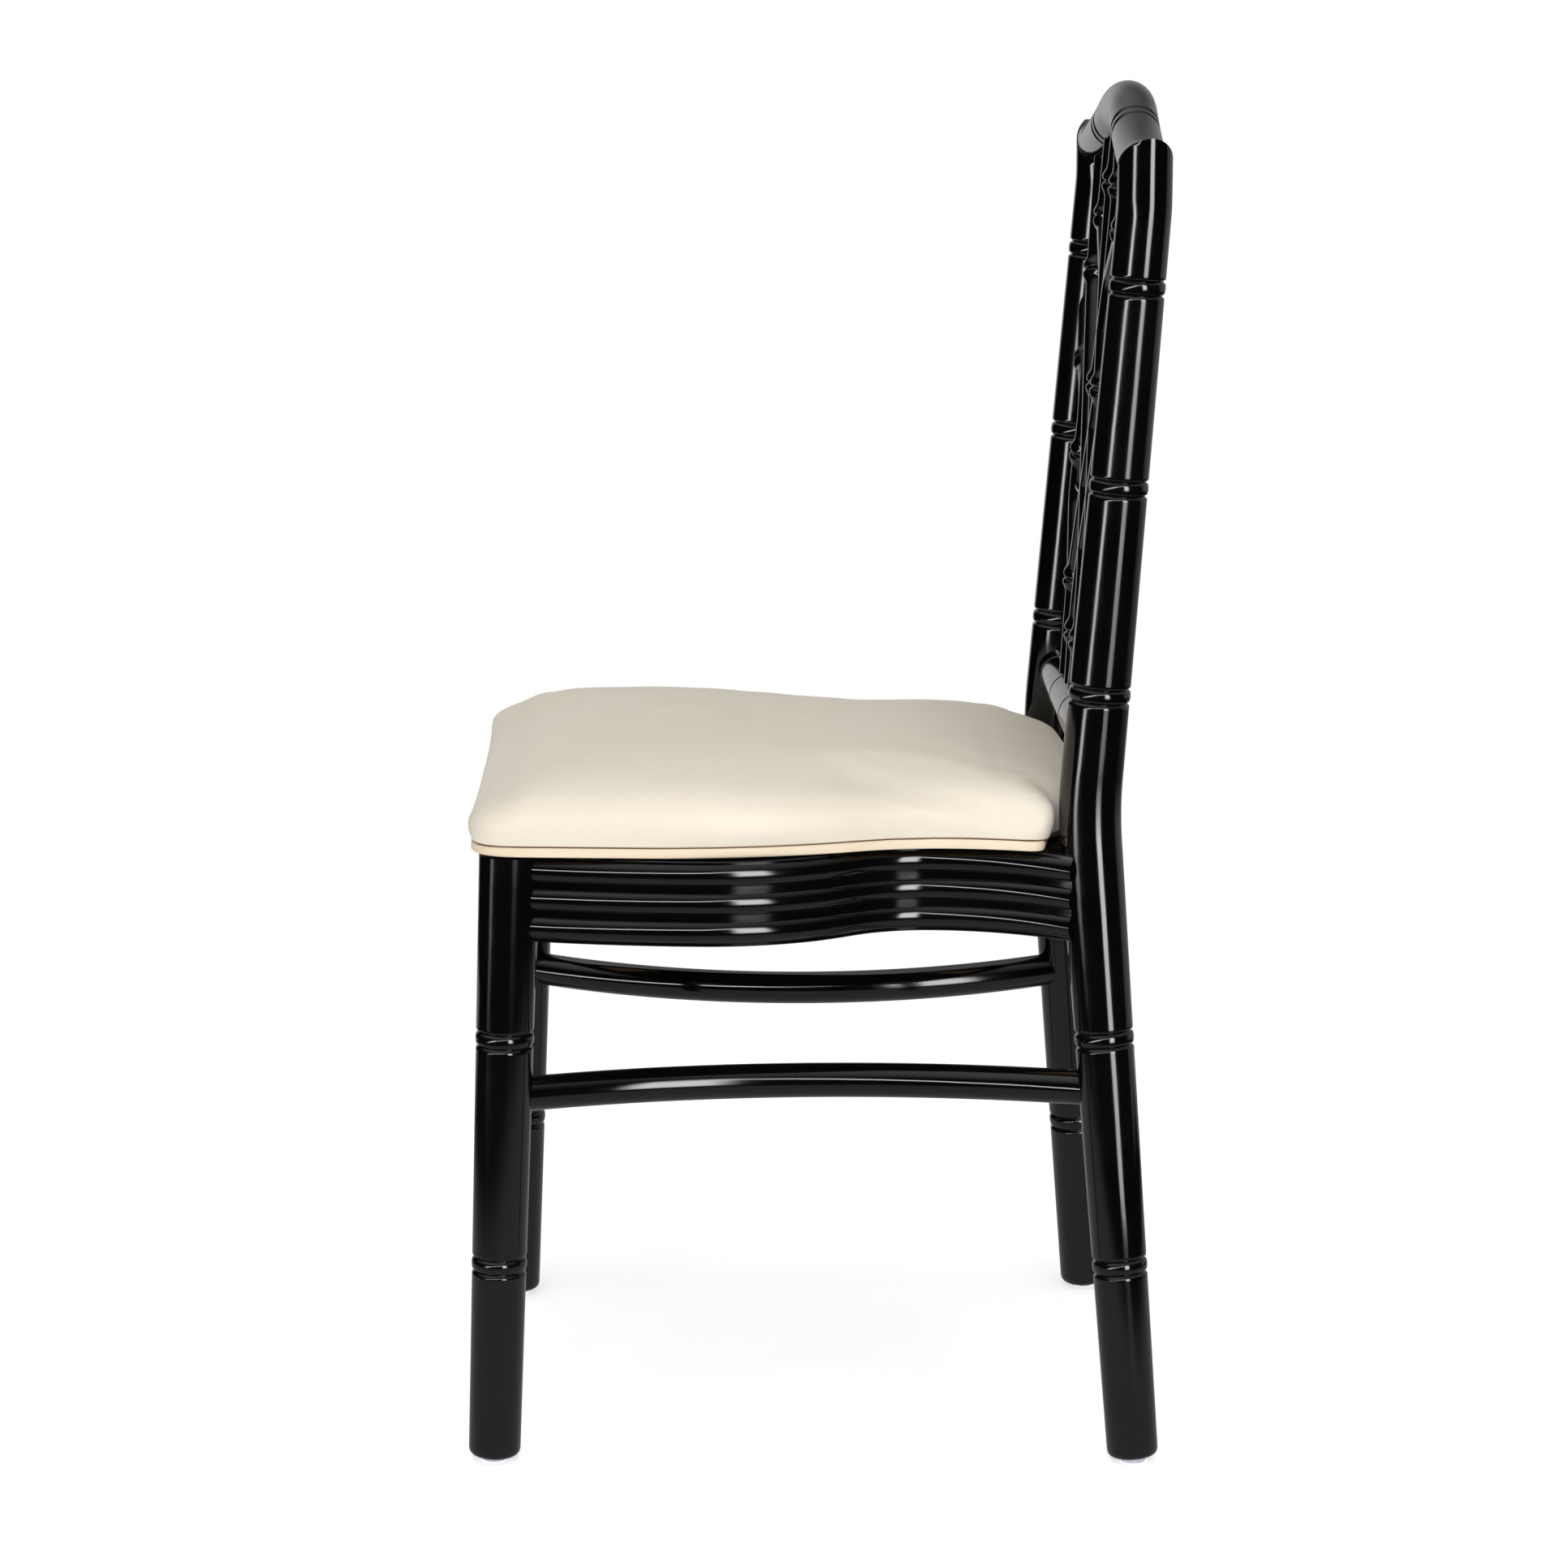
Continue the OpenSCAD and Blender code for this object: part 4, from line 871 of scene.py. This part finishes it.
def side_rail_plan():
    """The outer face of the left side rail seen from above: two swelling arcs, then two hollow ones."""
    bulge = (208.5, -78)
    waist = (153.5, 80)
    front_sweep = 560
    bulge_sweep = 168
    flare_sweep = 150
    in_leg = 6
    in_post = 2
    half_up = 28
    turn = 2 * math.atan((bulge[0] - waist[0]) / (waist[1] - bulge[1]))
    waist_sweep = (waist[1] - bulge[1]) / math.sin(turn) - bulge_sweep
    # The rail runs from inside the front leg to just inside the rear post, at half its own height
    post = KNEE - SHIN * (KNEE.z - RAIL_Z - half_up) / SHIN.z
    flare_end = post.y - POST_KNEE_THICK / 2 + in_post
    front_end = (LEG_FOOT + LEG_UP * RAIL_Z / math.cos(LEG_RAKE)).y - in_leg
    front_turn = math.asin((bulge[1] - front_end) / front_sweep)
    flare_turn = math.asin((flare_end - waist[1]) / flare_sweep)
    plan = plan_arc((bulge[0] - front_sweep, bulge[1]), front_sweep, -front_turn, 0, 16)
    plan += plan_arc((bulge[0] - bulge_sweep, bulge[1]), bulge_sweep, 0, turn, 20)[1:]
    plan += plan_arc((waist[0] + waist_sweep, waist[1]), waist_sweep, math.pi + turn, math.pi, 20)[1:]
    plan += plan_arc((waist[0] + flare_sweep, waist[1]), flare_sweep, math.pi, math.pi - flare_turn, 16)[1:]
    return plan


class CHAIR_OT_seat_rails(ChairOperator, bpy.types.Operator):
    """Sweep the reeded moulding along the curved rails of the seat frame"""

    bl_idname = "chair.seat_rails"
    bl_label = "Seat rails"

    def execute(self, context):
        section = reeded_section()
        side = to_seat(swept(side_rail_plan(), section))
        smoothed(side, 30)
        other = mirrored_copy(side)
        smoothed(other, 30)
        dress_pair(side, other, "side_rail_reeded", "lacquer_fore_and_aft", "side_rail")
        # The front rail is a shallow hollow arc between the legs, and the rear rail is straight
        front_half = 178
        front_middle = -213.5
        sweep = 2600
        turn = math.asin(front_half / sweep)
        hollow = plan_arc((0, front_middle - sweep), sweep, math.pi / 2 + turn, math.pi / 2 - turn, 24)
        rear_y = 196
        rear_half = 155
        straight = [Vector((x, rear_y, 0)) for x in range(rear_half, -rear_half - 1, -31)]
        for name, plan in (("front_rail", hollow), ("rear_rail", straight)):
            rail = to_seat(swept(plan, section))
            smoothed(rail, 30)
            dress_black(rail, name + "_reeded", "lacquer_across", name)
        return {"FINISHED"}


class CHAIR_OT_stretchers(ChairOperator, bpy.types.Operator):
    """Bend the two side stretchers, bowed inwards and a little down"""

    bl_idname = "chair.stretchers"
    bl_label = "Side stretchers"

    def execute(self, context):
        sizes = context.scene.chair_frame
        height = 254.5
        start = LEG_FOOT + LEG_UP * height / LEG_UP.z
        end = FOOT + SHIN * height / SHIN.z
        half = (end - start).length / 2
        forward = (end - start).normalized()
        bow = Vector((-49, 0, -4.5))
        rise = bow.length
        inward = (bow - forward * bow.dot(forward)).normalized()
        radius = (half * half + rise * rise) / (2 * rise)
        turn = math.asin(half / radius)
        centre = (start + end) / 2 + inward * (rise - radius)
        half_steps = 30
        path = [centre + inward * radius * math.cos(t) + forward * radius * math.sin(t)
            for t in (turn * (k / half_steps - 1) for k in range(2 * half_steps + 1))]
        stretcher = turned_rod(path, lambda t: sizes.stretcher / 2, [], sides=40, pitch=8.0)
        smoothed(stretcher)
        dress_pair(stretcher, mirrored_copy(stretcher), "side_stretcher_bowed", "lacquer_fore_and_aft",
            "side_stretcher")
        return {"FINISHED"}


def pad_half():
    """The pad's outline on the left, from the middle of its front to the middle of its back, as a list of
    (place, outward normal)."""
    wide = (208.5, -115)
    waist = (167.5, 90)
    sweep = 372
    flare = 205
    front_y = -232.8
    front_bow = 3
    back_y = 161
    front_r = 32
    back_r = 18
    turn = 2 * math.atan((wide[0] - waist[0]) / (waist[1] - wide[1]))
    hollow = (waist[1] - wide[1]) / math.sin(turn) - sweep
    back_turn = math.asin((back_y - back_r - waist[1]) / (flare + back_r))
    back_corner = (waist[0] + flare - (flare + back_r) * math.cos(back_turn), back_y - back_r)
    front_corner = (wide[0] - front_r, front_y + front_r)
    points = []

    def arc(centre, radius, start, end, steps, side):
        """Adds an arc that swells outwards where side is 1, and is hollow where it is -1."""
        for k in range(steps + 1):
            t = start + (end - start) * k / steps
            points.append((Vector((centre[0] + radius * math.cos(t), centre[1] + radius * math.sin(t), 0)),
                Vector((side * math.cos(t), side * math.sin(t), 0))))

    def edge(x, y, bow, way, steps):
        """Half of a bowed edge, from its middle to x; way is 1 at the back and -1 at the front."""
        return [(Vector((x * k / steps, y + bow * (1 - (k / steps) ** 2), 0)), Vector((0, way, 0)))
            for k in range(steps + 1)]

    points += edge(front_corner[0], front_y, front_bow, -1, 14)
    arc(front_corner, front_r, math.radians(-82), 0, 9, 1)
    arc((wide[0] - sweep, wide[1]), sweep, math.radians(1), turn, 12, 1)
    arc((waist[0] + hollow, waist[1]), hollow, math.pi + turn - math.radians(1), math.pi, 10, -1)
    arc((waist[0] + flare, waist[1]), flare, math.pi - math.radians(2), math.pi - back_turn, 5, -1)
    arc(back_corner, back_r, math.radians(8) - back_turn, math.radians(80), 8, 1)
    # The back edge keeps clear of the post, then reaches back between the posts, under the lower back rail
    back_steps = 20
    back_reach = 19
    back_bow = 6
    beside_post = 144
    reach_over = 36
    for k in range(back_steps + 1):
        x = back_corner[0] * (1 - k / back_steps)
        bow = back_bow * (1 - (x / back_corner[0]) ** 2)
        reach = back_reach * eased((beside_post - x) / reach_over) + bow
        points.append((Vector((x, back_y + reach, 0)), Vector((0, 1, 0))))
    return points


def pad_outline(inset):
    """The whole outline of the pad, drawn in by inset, in order round it."""
    left = [p - n * inset for p, n in pad_half()]
    right = [Vector((-p.x, p.y, 0)) for p in reversed(left) if p.x > 0.01]
    return left + right


# Height of the pad's lower edge over the seat rails' lower edge, and of its seam over its own lower edge
PAD_BASE = RAIL_HEIGHT + 1.6
# SEAM_RISE also sets where the cover's painted seam shade ends
SEAM_RISE = 7.5

# The pad's section, from its lower edge to the middle of its crown: (height, drawn in from the outline)
PAD_PROFILE = [(5, 3.6), (11, 0.8), (19, 0), (27, 1.2), (33.6, 4.5), (38.2, 9), (41.4, 15), (44.2, 24),
    (46.6, 40), (49, 65), (51.2, 100), (52.8, 150)]

# The foam has settled with use: (place from front to back, share of the made-up height that is left)
SETTLED = [(-245, 0.68), (-215, 0.78), (-190, 0.93), (-165, 1.0), (-145, 1.015), (-110, 1.03), (-70, 1.02),
    (-35, 0.99), (0, 0.965), (40, 0.955), (85, 0.97), (108, 0.955), (125, 0.925), (145, 0.905), (165, 0.9),
    (210, 0.88)]

# How far the upper back edge of the pad leans out
BACK_REACH = 4.5

# How much of the swelling the upholstered foam takes up
GIVE = 0.3


class CHAIR_OT_seat_pad(ChairOperator, bpy.types.Operator):
    """Loft the pad's cover, swell it with cloth pressure, and lay it on the seat"""

    bl_idname = "chair.seat_pad"
    bl_label = "Seat pad"

    def execute(self, context):
        sizes = context.scene.chair_pad
        # Room for the swelling: the loft starts this much inside the made-up pad, and its levels half as much
        slack = 2.6
        over_base_cloth = 0.4
        base_inset = sizes.tuck + slack
        line = draw_line(pad_outline(base_inset), closed=True)
        alone(line)
        bpy.ops.object.convert(target="MESH")
        pad = bpy.context.object
        bpy.ops.object.mode_set(mode="EDIT")
        bpy.ops.mesh.select_all(action="SELECT")
        bpy.ops.mesh.edge_face_add()
        middle = Vector((0, -36, 0)) * MM
        half_width = 205.0
        height = 0.0
        grown = 1.0
        for level, inset in PAD_PROFILE:
            rise = level - height
            height = level
            wanted = 1 + (base_inset - slack * 0.5 - inset) / half_width
            bpy.ops.mesh.extrude_region_move(TRANSFORM_OT_translate={"value": (0, 0, rise * MM)})
            bpy.ops.transform.resize(value=(wanted / grown, wanted / grown, 1), center_override=middle)
            grown = wanted
        bpy.ops.mesh.select_all(action="SELECT")
        bpy.ops.mesh.normals_make_consistent(inside=False)
        bpy.ops.object.mode_set(mode="OBJECT")
        remesh = pad.modifiers.new("even", "REMESH")
        remesh.mode = "VOXEL"
        remesh.voxel_size = 5 * MM
        soften = pad.modifiers.new("soften", "SMOOTH")
        soften.factor = 0.5
        soften.iterations = 4
        apply_modifiers(pad)
        swell(pad, sizes)
        settle(pad)
        round_off = pad.modifiers.new("round", "SUBSURF")
        round_off.levels = 1
        round_off.render_levels = 1
        apply_modifiers(pad)
        alone(pad)
        bpy.ops.object.shade_smooth()
        pad.location.z = (PAD_BASE + over_base_cloth) * MM
        bpy.ops.object.transform_apply(location=True, rotation=True, scale=True)
        to_seat(pad)
        dress(pad, "seat_pad_cushion", material("ivory_leatherette"), "ivory_cover", "pad", "pad_cover",
            "pad_foam")
        return {"FINISHED"}


def settle(pad):
    """Lowers the top of the pad to its worn heights, and lets the upper back edge lean out a little."""
    firm_below = 12
    full_above = 36
    lean_from = 105
    lean_to = 150
    for vertex in pad.data.vertices:
        y = vertex.co.y / MM
        z = vertex.co.z / MM
        for (y0, share0), (y1, share1) in zip(SETTLED, SETTLED[1:]):
            if y0 <= y <= y1:
                share = share0 + (share1 - share0) * eased((y - y0) / (y1 - y0))
        full = clamped((z - firm_below) / (full_above - firm_below))
        vertex.co.z = z * (1 + (share - 1) * full) * MM
        far_back = clamped((y - lean_from) / (lean_to - lean_from))
        vertex.co.y += BACK_REACH * far_back * full * MM


def swell(pad, sizes):
    """Swells the pad with cloth pressure. Its flat underside is held, and no point moves past the limit."""
    frames = 20
    held_height = 2
    held = pad.vertex_groups.new(name="held")
    low = min(v.co.z for v in pad.data.vertices)
    held.add([v.index for v in pad.data.vertices if v.co.z < low + held_height * MM], 1.0, "REPLACE")
    rest = [v.co.copy() for v in pad.data.vertices]
    cloth = pad.modifiers.new("swell", "CLOTH")
    settings = cloth.settings
    settings.use_pressure = True
    settings.uniform_pressure_force = sizes.pressure
    settings.tension_stiffness = 90
    settings.compression_stiffness = 90
    settings.shear_stiffness = 60
    settings.bending_stiffness = 25
    settings.vertex_group_mass = "held"
    settings.effector_weights.gravity = 0
    cloth.point_cache.frame_start = 1
    cloth.point_cache.frame_end = frames
    scene = bpy.context.scene
    for number in range(1, frames + 1):
        scene.frame_set(number)
    alone(pad)
    bpy.ops.object.modifier_apply(modifier=cloth.name)
    scene.frame_set(1)
    most = sizes.swell * MM
    for vertex, before in zip(pad.data.vertices, rest):
        moved = (vertex.co - before) * GIVE
        if moved.length > most:
            vertex.co = before + moved * (most / moved.length)
    pad.vertex_groups.clear()


class CHAIR_OT_pad_band(ChairOperator, bpy.types.Operator):
    """Sew the folded band round the pad's lower edge, with its ends rolled under at the back corners"""

    bl_idname = "chair.pad_band"
    bl_label = "Pad band"

    def execute(self, context):
        sizes = context.scene.chair_pad
        tall = 6.5
        off_pad = 0.2
        ends_at = 152
        left = [p - n * (sizes.tuck + off_pad) for p, n in pad_half() if p.y < ends_at]
        tip = left[-1]
        back = (left[-1] - left[-2]).normalized()
        # Each end rolls under: (further back, inwards)
        curl = [(2.0, 0.6), (3.2, 2.2), (3.0, 4.2), (1.4, 5.6)]
        left += [tip + back * further + Vector((-inwards, 0, 0)) for further, inwards in curl]
        right = [Vector((-p.x, p.y, 0)) for p in reversed(left) if p.x > 0.01]
        section = [(-0.5, 0.0), (0.5, -0.1), (1.25, 0.5), (1.5, 1.6), (1.45, 3.2), (1.5, 4.9), (1.2, 6.1),
            (0.5, tall), (-0.5, tall - 0.2)]
        band = swept(right + left, section)
        smoothed(band, 60)
        band.location.z = PAD_BASE * MM
        bpy.ops.object.transform_apply(location=True, rotation=True, scale=True)
        to_seat(band)
        dress(band, "pad_band_sewn", material("ivory_band"), "ivory_cover", "pad", "pad_hem")
        return {"FINISHED"}


# The CAD nodes that stay as they are, and the finish of each
KEPT = {
    "dull_black_panel": ["seat_panel"],
    "bare_beech": ["corner_block_front_left", "corner_block_front_right", "corner_block_rear_left",
        "corner_block_rear_right", "rail_dowels", "crest_dowels", "pad_board"],
    "zinc_steel": ["block_screws", "panel_screws", "glide_nails", "pad_staples"],
    "woven_black": ["loop_tapes", "hook_tapes", "pad_base_cloth"],
    "glide_nylon": ["glide_front_left", "glide_front_right", "glide_rear_left", "glide_rear_right"],
}


class CHAIR_OT_kept_parts(ChairOperator, bpy.types.Operator):
    """Give the joinery, fasteners, tapes and glides their finishes"""

    bl_idname = "chair.kept_parts"
    bl_label = "Joinery and glides"

    def execute(self, context):
        for finish_name, nodes in KEPT.items():
            for node in nodes:
                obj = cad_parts[node]
                for holder in obj.material_slots:
                    holder.material = material(finish_name)
        return {"FINISHED"}


def area_light(name, place, target, width, height, watts):
    """A soft box that shines from place to target. The lacquer mirrors the world's studio, not this lamp."""
    bpy.ops.object.light_add(type="AREA", location=place)
    lamp = bpy.context.object
    lamp.name = name
    lamp.data.shape = "RECTANGLE"
    lamp.data.size = width
    lamp.data.size_y = height
    lamp.data.energy = watts
    lamp.rotation_euler = (Vector(target) - Vector(place)).to_track_quat("-Z", "Y").to_euler()
    lamp.visible_camera = False
    lamp.visible_glossy = False
    return lamp


class CHAIR_OT_stage(ChairOperator, bpy.types.Operator):
    """Set the pale floor, the studio light and the camera"""

    bl_idname = "chair.stage"
    bl_label = "Stage"

    def execute(self, context):
        scene = context.scene
        bpy.ops.mesh.primitive_circle_add(vertices=96, radius=1.6, fill_type="NGON", location=(0, 0, 0))
        floor = context.object
        floor.name = "floor"
        floor_finish, tree = new_material("pale_floor")
        place = add(tree, "ShaderNodeTexCoord").outputs["Object"]
        away = add(tree, "ShaderNodeVectorMath", {0: place}, operation="LENGTH").outputs["Value"]
        rays = add(tree, "ShaderNodeLightPath")
        pale = add(tree, "ShaderNodeBsdfDiffuse", {"Color": hex_colour("#FAFAFA")})
        glow = add(tree, "ShaderNodeEmission", {"Color": grey(1.0), "Strength": 0.6})
        lit = add(tree, "ShaderNodeAddShader", {0: pale.outputs["BSDF"], 1: glow.outputs["Emission"]})
        clear = add(tree, "ShaderNodeBsdfTransparent")
        fade = add(tree, "ShaderNodeMapRange", {"Value": away, "From Min": 0.55, "From Max": 1.55},
            interpolation_type="SMOOTHSTEP")
        # From below the floor is clear, so that the chair's underside can be looked at
        below = add(tree, "ShaderNodeNewGeometry").outputs["Backfacing"]
        gone = add(tree, "ShaderNodeMath", {0: fade.outputs["Result"], 1: below}, operation="MAXIMUM")
        seen = add(tree, "ShaderNodeMixShader", {0: gone.outputs["Value"], 1: lit.outputs["Shader"],
            2: clear.outputs["BSDF"]})
        # In reflections the floor is dimmer, and ends closer to the chair
        near = add(tree, "ShaderNodeMapRange", {
            "Value": away, "From Min": 0.65, "From Max": 1.1, "To Min": 0.4, "To Max": 0.0,
        }, interpolation_type="SMOOTHSTEP")
        sides = add(tree, "ShaderNodeSeparateXYZ", {"Vector": place})
        behind = add(tree, "ShaderNodeMapRange", {
            "Value": sides.outputs["X"], "From Min": -0.4, "From Max": -0.9, "To Min": 0.0, "To Max": 0.55,
        }, interpolation_type="SMOOTHSTEP")
        reflected = add(tree, "ShaderNodeMath", {0: near.outputs["Result"], 1: behind.outputs["Result"]},
            operation="MAXIMUM")
        dim = add(tree, "ShaderNodeEmission", {"Color": grey(1.0), "Strength": reflected.outputs["Value"]})
        mixed = add(tree, "ShaderNodeMixShader", {
            0: rays.outputs["Is Glossy Ray"], 1: seen.outputs["Shader"], 2: dim.outputs["Emission"],
        })
        add(tree, "ShaderNodeOutputMaterial", {"Surface": mixed.outputs["Shader"]})
        floor.data.materials.append(floor_finish)
        self.light_world(scene)
        area_light("soft_box_left", (1.6, -2.1, 0.85), (0, 0, 0.5), 0.9, 1.6, 5)
        area_light("soft_box_right", (2.4, 1.8, 0.9), (0, 0.1, 0.5), 0.9, 1.6, 5)
        area_light("camera_side", (2.9, -0.1, 1.6), (0, 0, 0.45), 1.6, 1.2, 30)
        area_light("overhead", (0.7, 0.0, 2.6), (0, 0, 0.4), 1.8, 1.8, 18)
        self.place_camera(scene)
        scene.view_settings.view_transform = "Standard"
        return {"FINISHED"}

    def light_world(self, scene):
        """White to the camera; a studio of soft strips for reflections; an even fill for everything else."""
        world = scene.world or bpy.data.worlds.new("studio")
        scene.world = world
        world.use_nodes = True
        tree = world.node_tree
        tree.nodes.clear()
        way = add(tree, "ShaderNodeTexCoord").outputs["Generated"]
        parts = add(tree, "ShaderNodeSeparateXYZ", {"Vector": way})
        rise = parts.outputs["Z"]
        bearing = add(tree, "ShaderNodeMath", {0: parts.outputs["Y"], 1: parts.outputs["X"]},
            operation="ARCTAN2").outputs["Value"]

        # Two strip lights, by the bearing of each one's middle. The left one leans: its bearing swings round
        # by 2.2 degrees for each degree of height.
        lean = add(tree, "ShaderNodeMath", {0: rise, 1: 2.2, 2: math.radians(-43)}, operation="MULTIPLY_ADD")
        light = {}
        soft = math.radians(2.5)
        for name, middle, half in (
            ("leaning_strip", lean.outputs["Value"], math.radians(5.5)),
            ("upright_strip", math.radians(25.5), math.radians(8)),
        ):
            turned = add(tree, "ShaderNodeMath", {0: bearing, 1: middle}, operation="SUBTRACT")
            off = add(tree, "ShaderNodeMath", {0: turned.outputs["Value"]}, operation="ABSOLUTE")
            light[name] = add(tree, "ShaderNodeMapRange", {
                "Value": off.outputs["Value"], "From Min": half + soft, "From Max": half - soft,
            }, interpolation_type="SMOOTHSTEP").outputs["Result"]
        light["strip_rise"] = add(tree, "ShaderNodeMapRange", {
            "Value": rise, "From Min": -0.245, "From Max": -0.03, "To Min": 0.0, "To Max": 14.0,
        }).outputs["Result"]

        # Soft changes: what each follows, from where to where, and its value at both ends. Straight behind
        # the chair the walls carry on down to the floor.
        for name, value, start, end, low, high in (
            ("strip_foot", rise, -0.26, -0.16, 0.0, 1.0),
            ("strip_head", rise, 0.6, 0.35, 0.0, 1.0),
            ("right_wall", bearing, math.radians(92), math.radians(106), 0.0, 0.55),
            ("left_wall", bearing, math.radians(-140), math.radians(-160), 0.0, 0.55),
            ("walls_to_front", parts.outputs["Y"], 0.12, -0.25, 0.6, 1.35),
            ("walls_to_back", parts.outputs["Y"], 0.4, 0.7, 0.0, 0.2),
            ("wall_head", rise, 0.1, 0.65, 1.0, 0.5),
            ("wall_foot", rise, -0.3, -0.12, 0.0, 1.0),
            ("straight_behind", parts.outputs["X"], -0.7, -0.85, 0.0, 1.0),
            ("ceiling", rise, 0.4, 0.95, 0.0, 0.9),
            ("ceiling_to_front", parts.outputs["Y"], 0.6, -0.6, 0.6, 1.2),
            ("fill_by_height", rise, 0.15, 0.9, 1.0, 0.62),
        ):
            light[name] = add(tree, "ShaderNodeMapRange", {
                "Value": value, "From Min": start, "From Max": end, "To Min": low, "To Max": high,
            }, interpolation_type="SMOOTHSTEP").outputs["Result"]

        # The parts of the light, each made of two that came before it
        for name, operation, one, two in (
            ("left_strip", "MULTIPLY", "leaning_strip", "strip_foot"),
            ("both_strips", "ADD", "left_strip", "upright_strip"),
            ("risen_strips", "MULTIPLY", "both_strips", "strip_rise"),
            ("strips", "MULTIPLY", "risen_strips", "strip_head"),
            ("both_walls", "ADD", "right_wall", "left_wall"),
            ("walls_across", "ADD", "walls_to_front", "walls_to_back"),
            ("shaded_walls", "MULTIPLY", "both_walls", "walls_across"),
            ("high_walls", "MULTIPLY", "shaded_walls", "wall_head"),
            ("wall_depth", "MAXIMUM", "wall_foot", "straight_behind"),
            ("walls", "MULTIPLY", "high_walls", "wall_depth"),
            ("above", "MULTIPLY", "ceiling", "ceiling_to_front"),
            ("strips_and_walls", "ADD", "strips", "walls"),
            ("mirrored", "ADD", "strips_and_walls", "above"),
        ):
            light[name] = add(tree, "ShaderNodeMath", {0: light[one], 1: light[two]},
                operation=operation).outputs["Value"]

        fill_level = 0.45
        fill_light = add(tree, "ShaderNodeMath", {0: light["fill_by_height"], 1: fill_level},
            operation="MULTIPLY").outputs["Value"]
        mirror = add(tree, "ShaderNodeBackground", {"Color": grey(1.0), "Strength": light["mirrored"]})
        fill = add(tree, "ShaderNodeBackground", {"Color": grey(1.0), "Strength": fill_light})
        seen = add(tree, "ShaderNodeBackground", {"Color": grey(1.0), "Strength": 1.0})
        rays = add(tree, "ShaderNodeLightPath")
        dull = add(tree, "ShaderNodeMixShader", {
            0: rays.outputs["Is Glossy Ray"], 1: fill.outputs["Background"], 2: mirror.outputs["Background"],
        })
        whole = add(tree, "ShaderNodeMixShader", {
            0: rays.outputs["Is Camera Ray"], 1: dull.outputs["Shader"], 2: seen.outputs["Background"],
        })
        add(tree, "ShaderNodeOutputWorld", {"Surface": whole.outputs["Shader"]})

    def place_camera(self, scene):
        """The photograph's view: nearly from the chair's left side, a little above the seat."""
        # The photograph's width and the focal length are in pixels, the sensor in millimetres
        image_width = 1932
        focal_length = 5500
        sensor = 36
        bpy.ops.object.camera_add(location=(3.07, -0.0755, 1.0406))
        camera = bpy.context.object
        down = math.radians(11.26)
        # The bearing is 1.1 degrees off square to the chair's side
        inwards = -0.9998
        backwards = 0.019
        forward = Vector((inwards * math.cos(down), backwards * math.cos(down), -math.sin(down)))
        camera.rotation_euler = forward.to_track_quat("-Z", "Y").to_euler()
        camera.data.sensor_width = sensor
        camera.data.lens = sensor * focal_length / image_width
        camera.data.clip_start = 0.05
        scene.camera = camera


STEPS = ["front_legs", "rear_posts", "crest_rail", "lower_back_rail", "lattice", "seat_rails", "stretchers",
    "seat_pad", "pad_band", "kept_parts", "stage"]


class CHAIR_PT_build(bpy.types.Panel):
    """Lists the steps that build the chair, in order"""

    bl_idname = "CHAIR_PT_build"
    bl_label = "Banquet Chair"
    bl_space_type = "VIEW_3D"
    bl_region_type = "UI"
    bl_category = "Chair"

    def draw(self, context):
        for group in (context.scene.chair_frame, context.scene.chair_pad, context.scene.chair_colours):
            box = self.layout.box()
            for name in group.__annotations__:
                box.prop(group, name)
        for step in STEPS:
            self.layout.operator("chair." + step)


CLASSES = [
    FrameSizes, PadSizes, Colours, CHAIR_OT_front_legs, CHAIR_OT_rear_posts, CHAIR_OT_crest_rail,
    CHAIR_OT_lower_back_rail, CHAIR_OT_lattice, CHAIR_OT_seat_rails, CHAIR_OT_stretchers, CHAIR_OT_seat_pad,
    CHAIR_OT_pad_band, CHAIR_OT_kept_parts, CHAIR_OT_stage, CHAIR_PT_build,
]


def register():
    for cls in CLASSES:
        bpy.utils.register_class(cls)
    bpy.types.Scene.chair_frame = PointerProperty(type=FrameSizes)
    bpy.types.Scene.chair_pad = PointerProperty(type=PadSizes)
    bpy.types.Scene.chair_colours = PointerProperty(type=Colours)


def unregister():
    del bpy.types.Scene.chair_colours
    del bpy.types.Scene.chair_pad
    del bpy.types.Scene.chair_frame
    for cls in reversed(CLASSES):
        bpy.utils.unregister_class(cls)


def corners(bounds):
    """Both corners of a box as plain lists."""
    return [[float(value) for value in corner] for corner in bounds]


def main():
    register()
    for step in STEPS:
        getattr(bpy.ops.chair, step)()


if __name__ == "__main__":
    main()
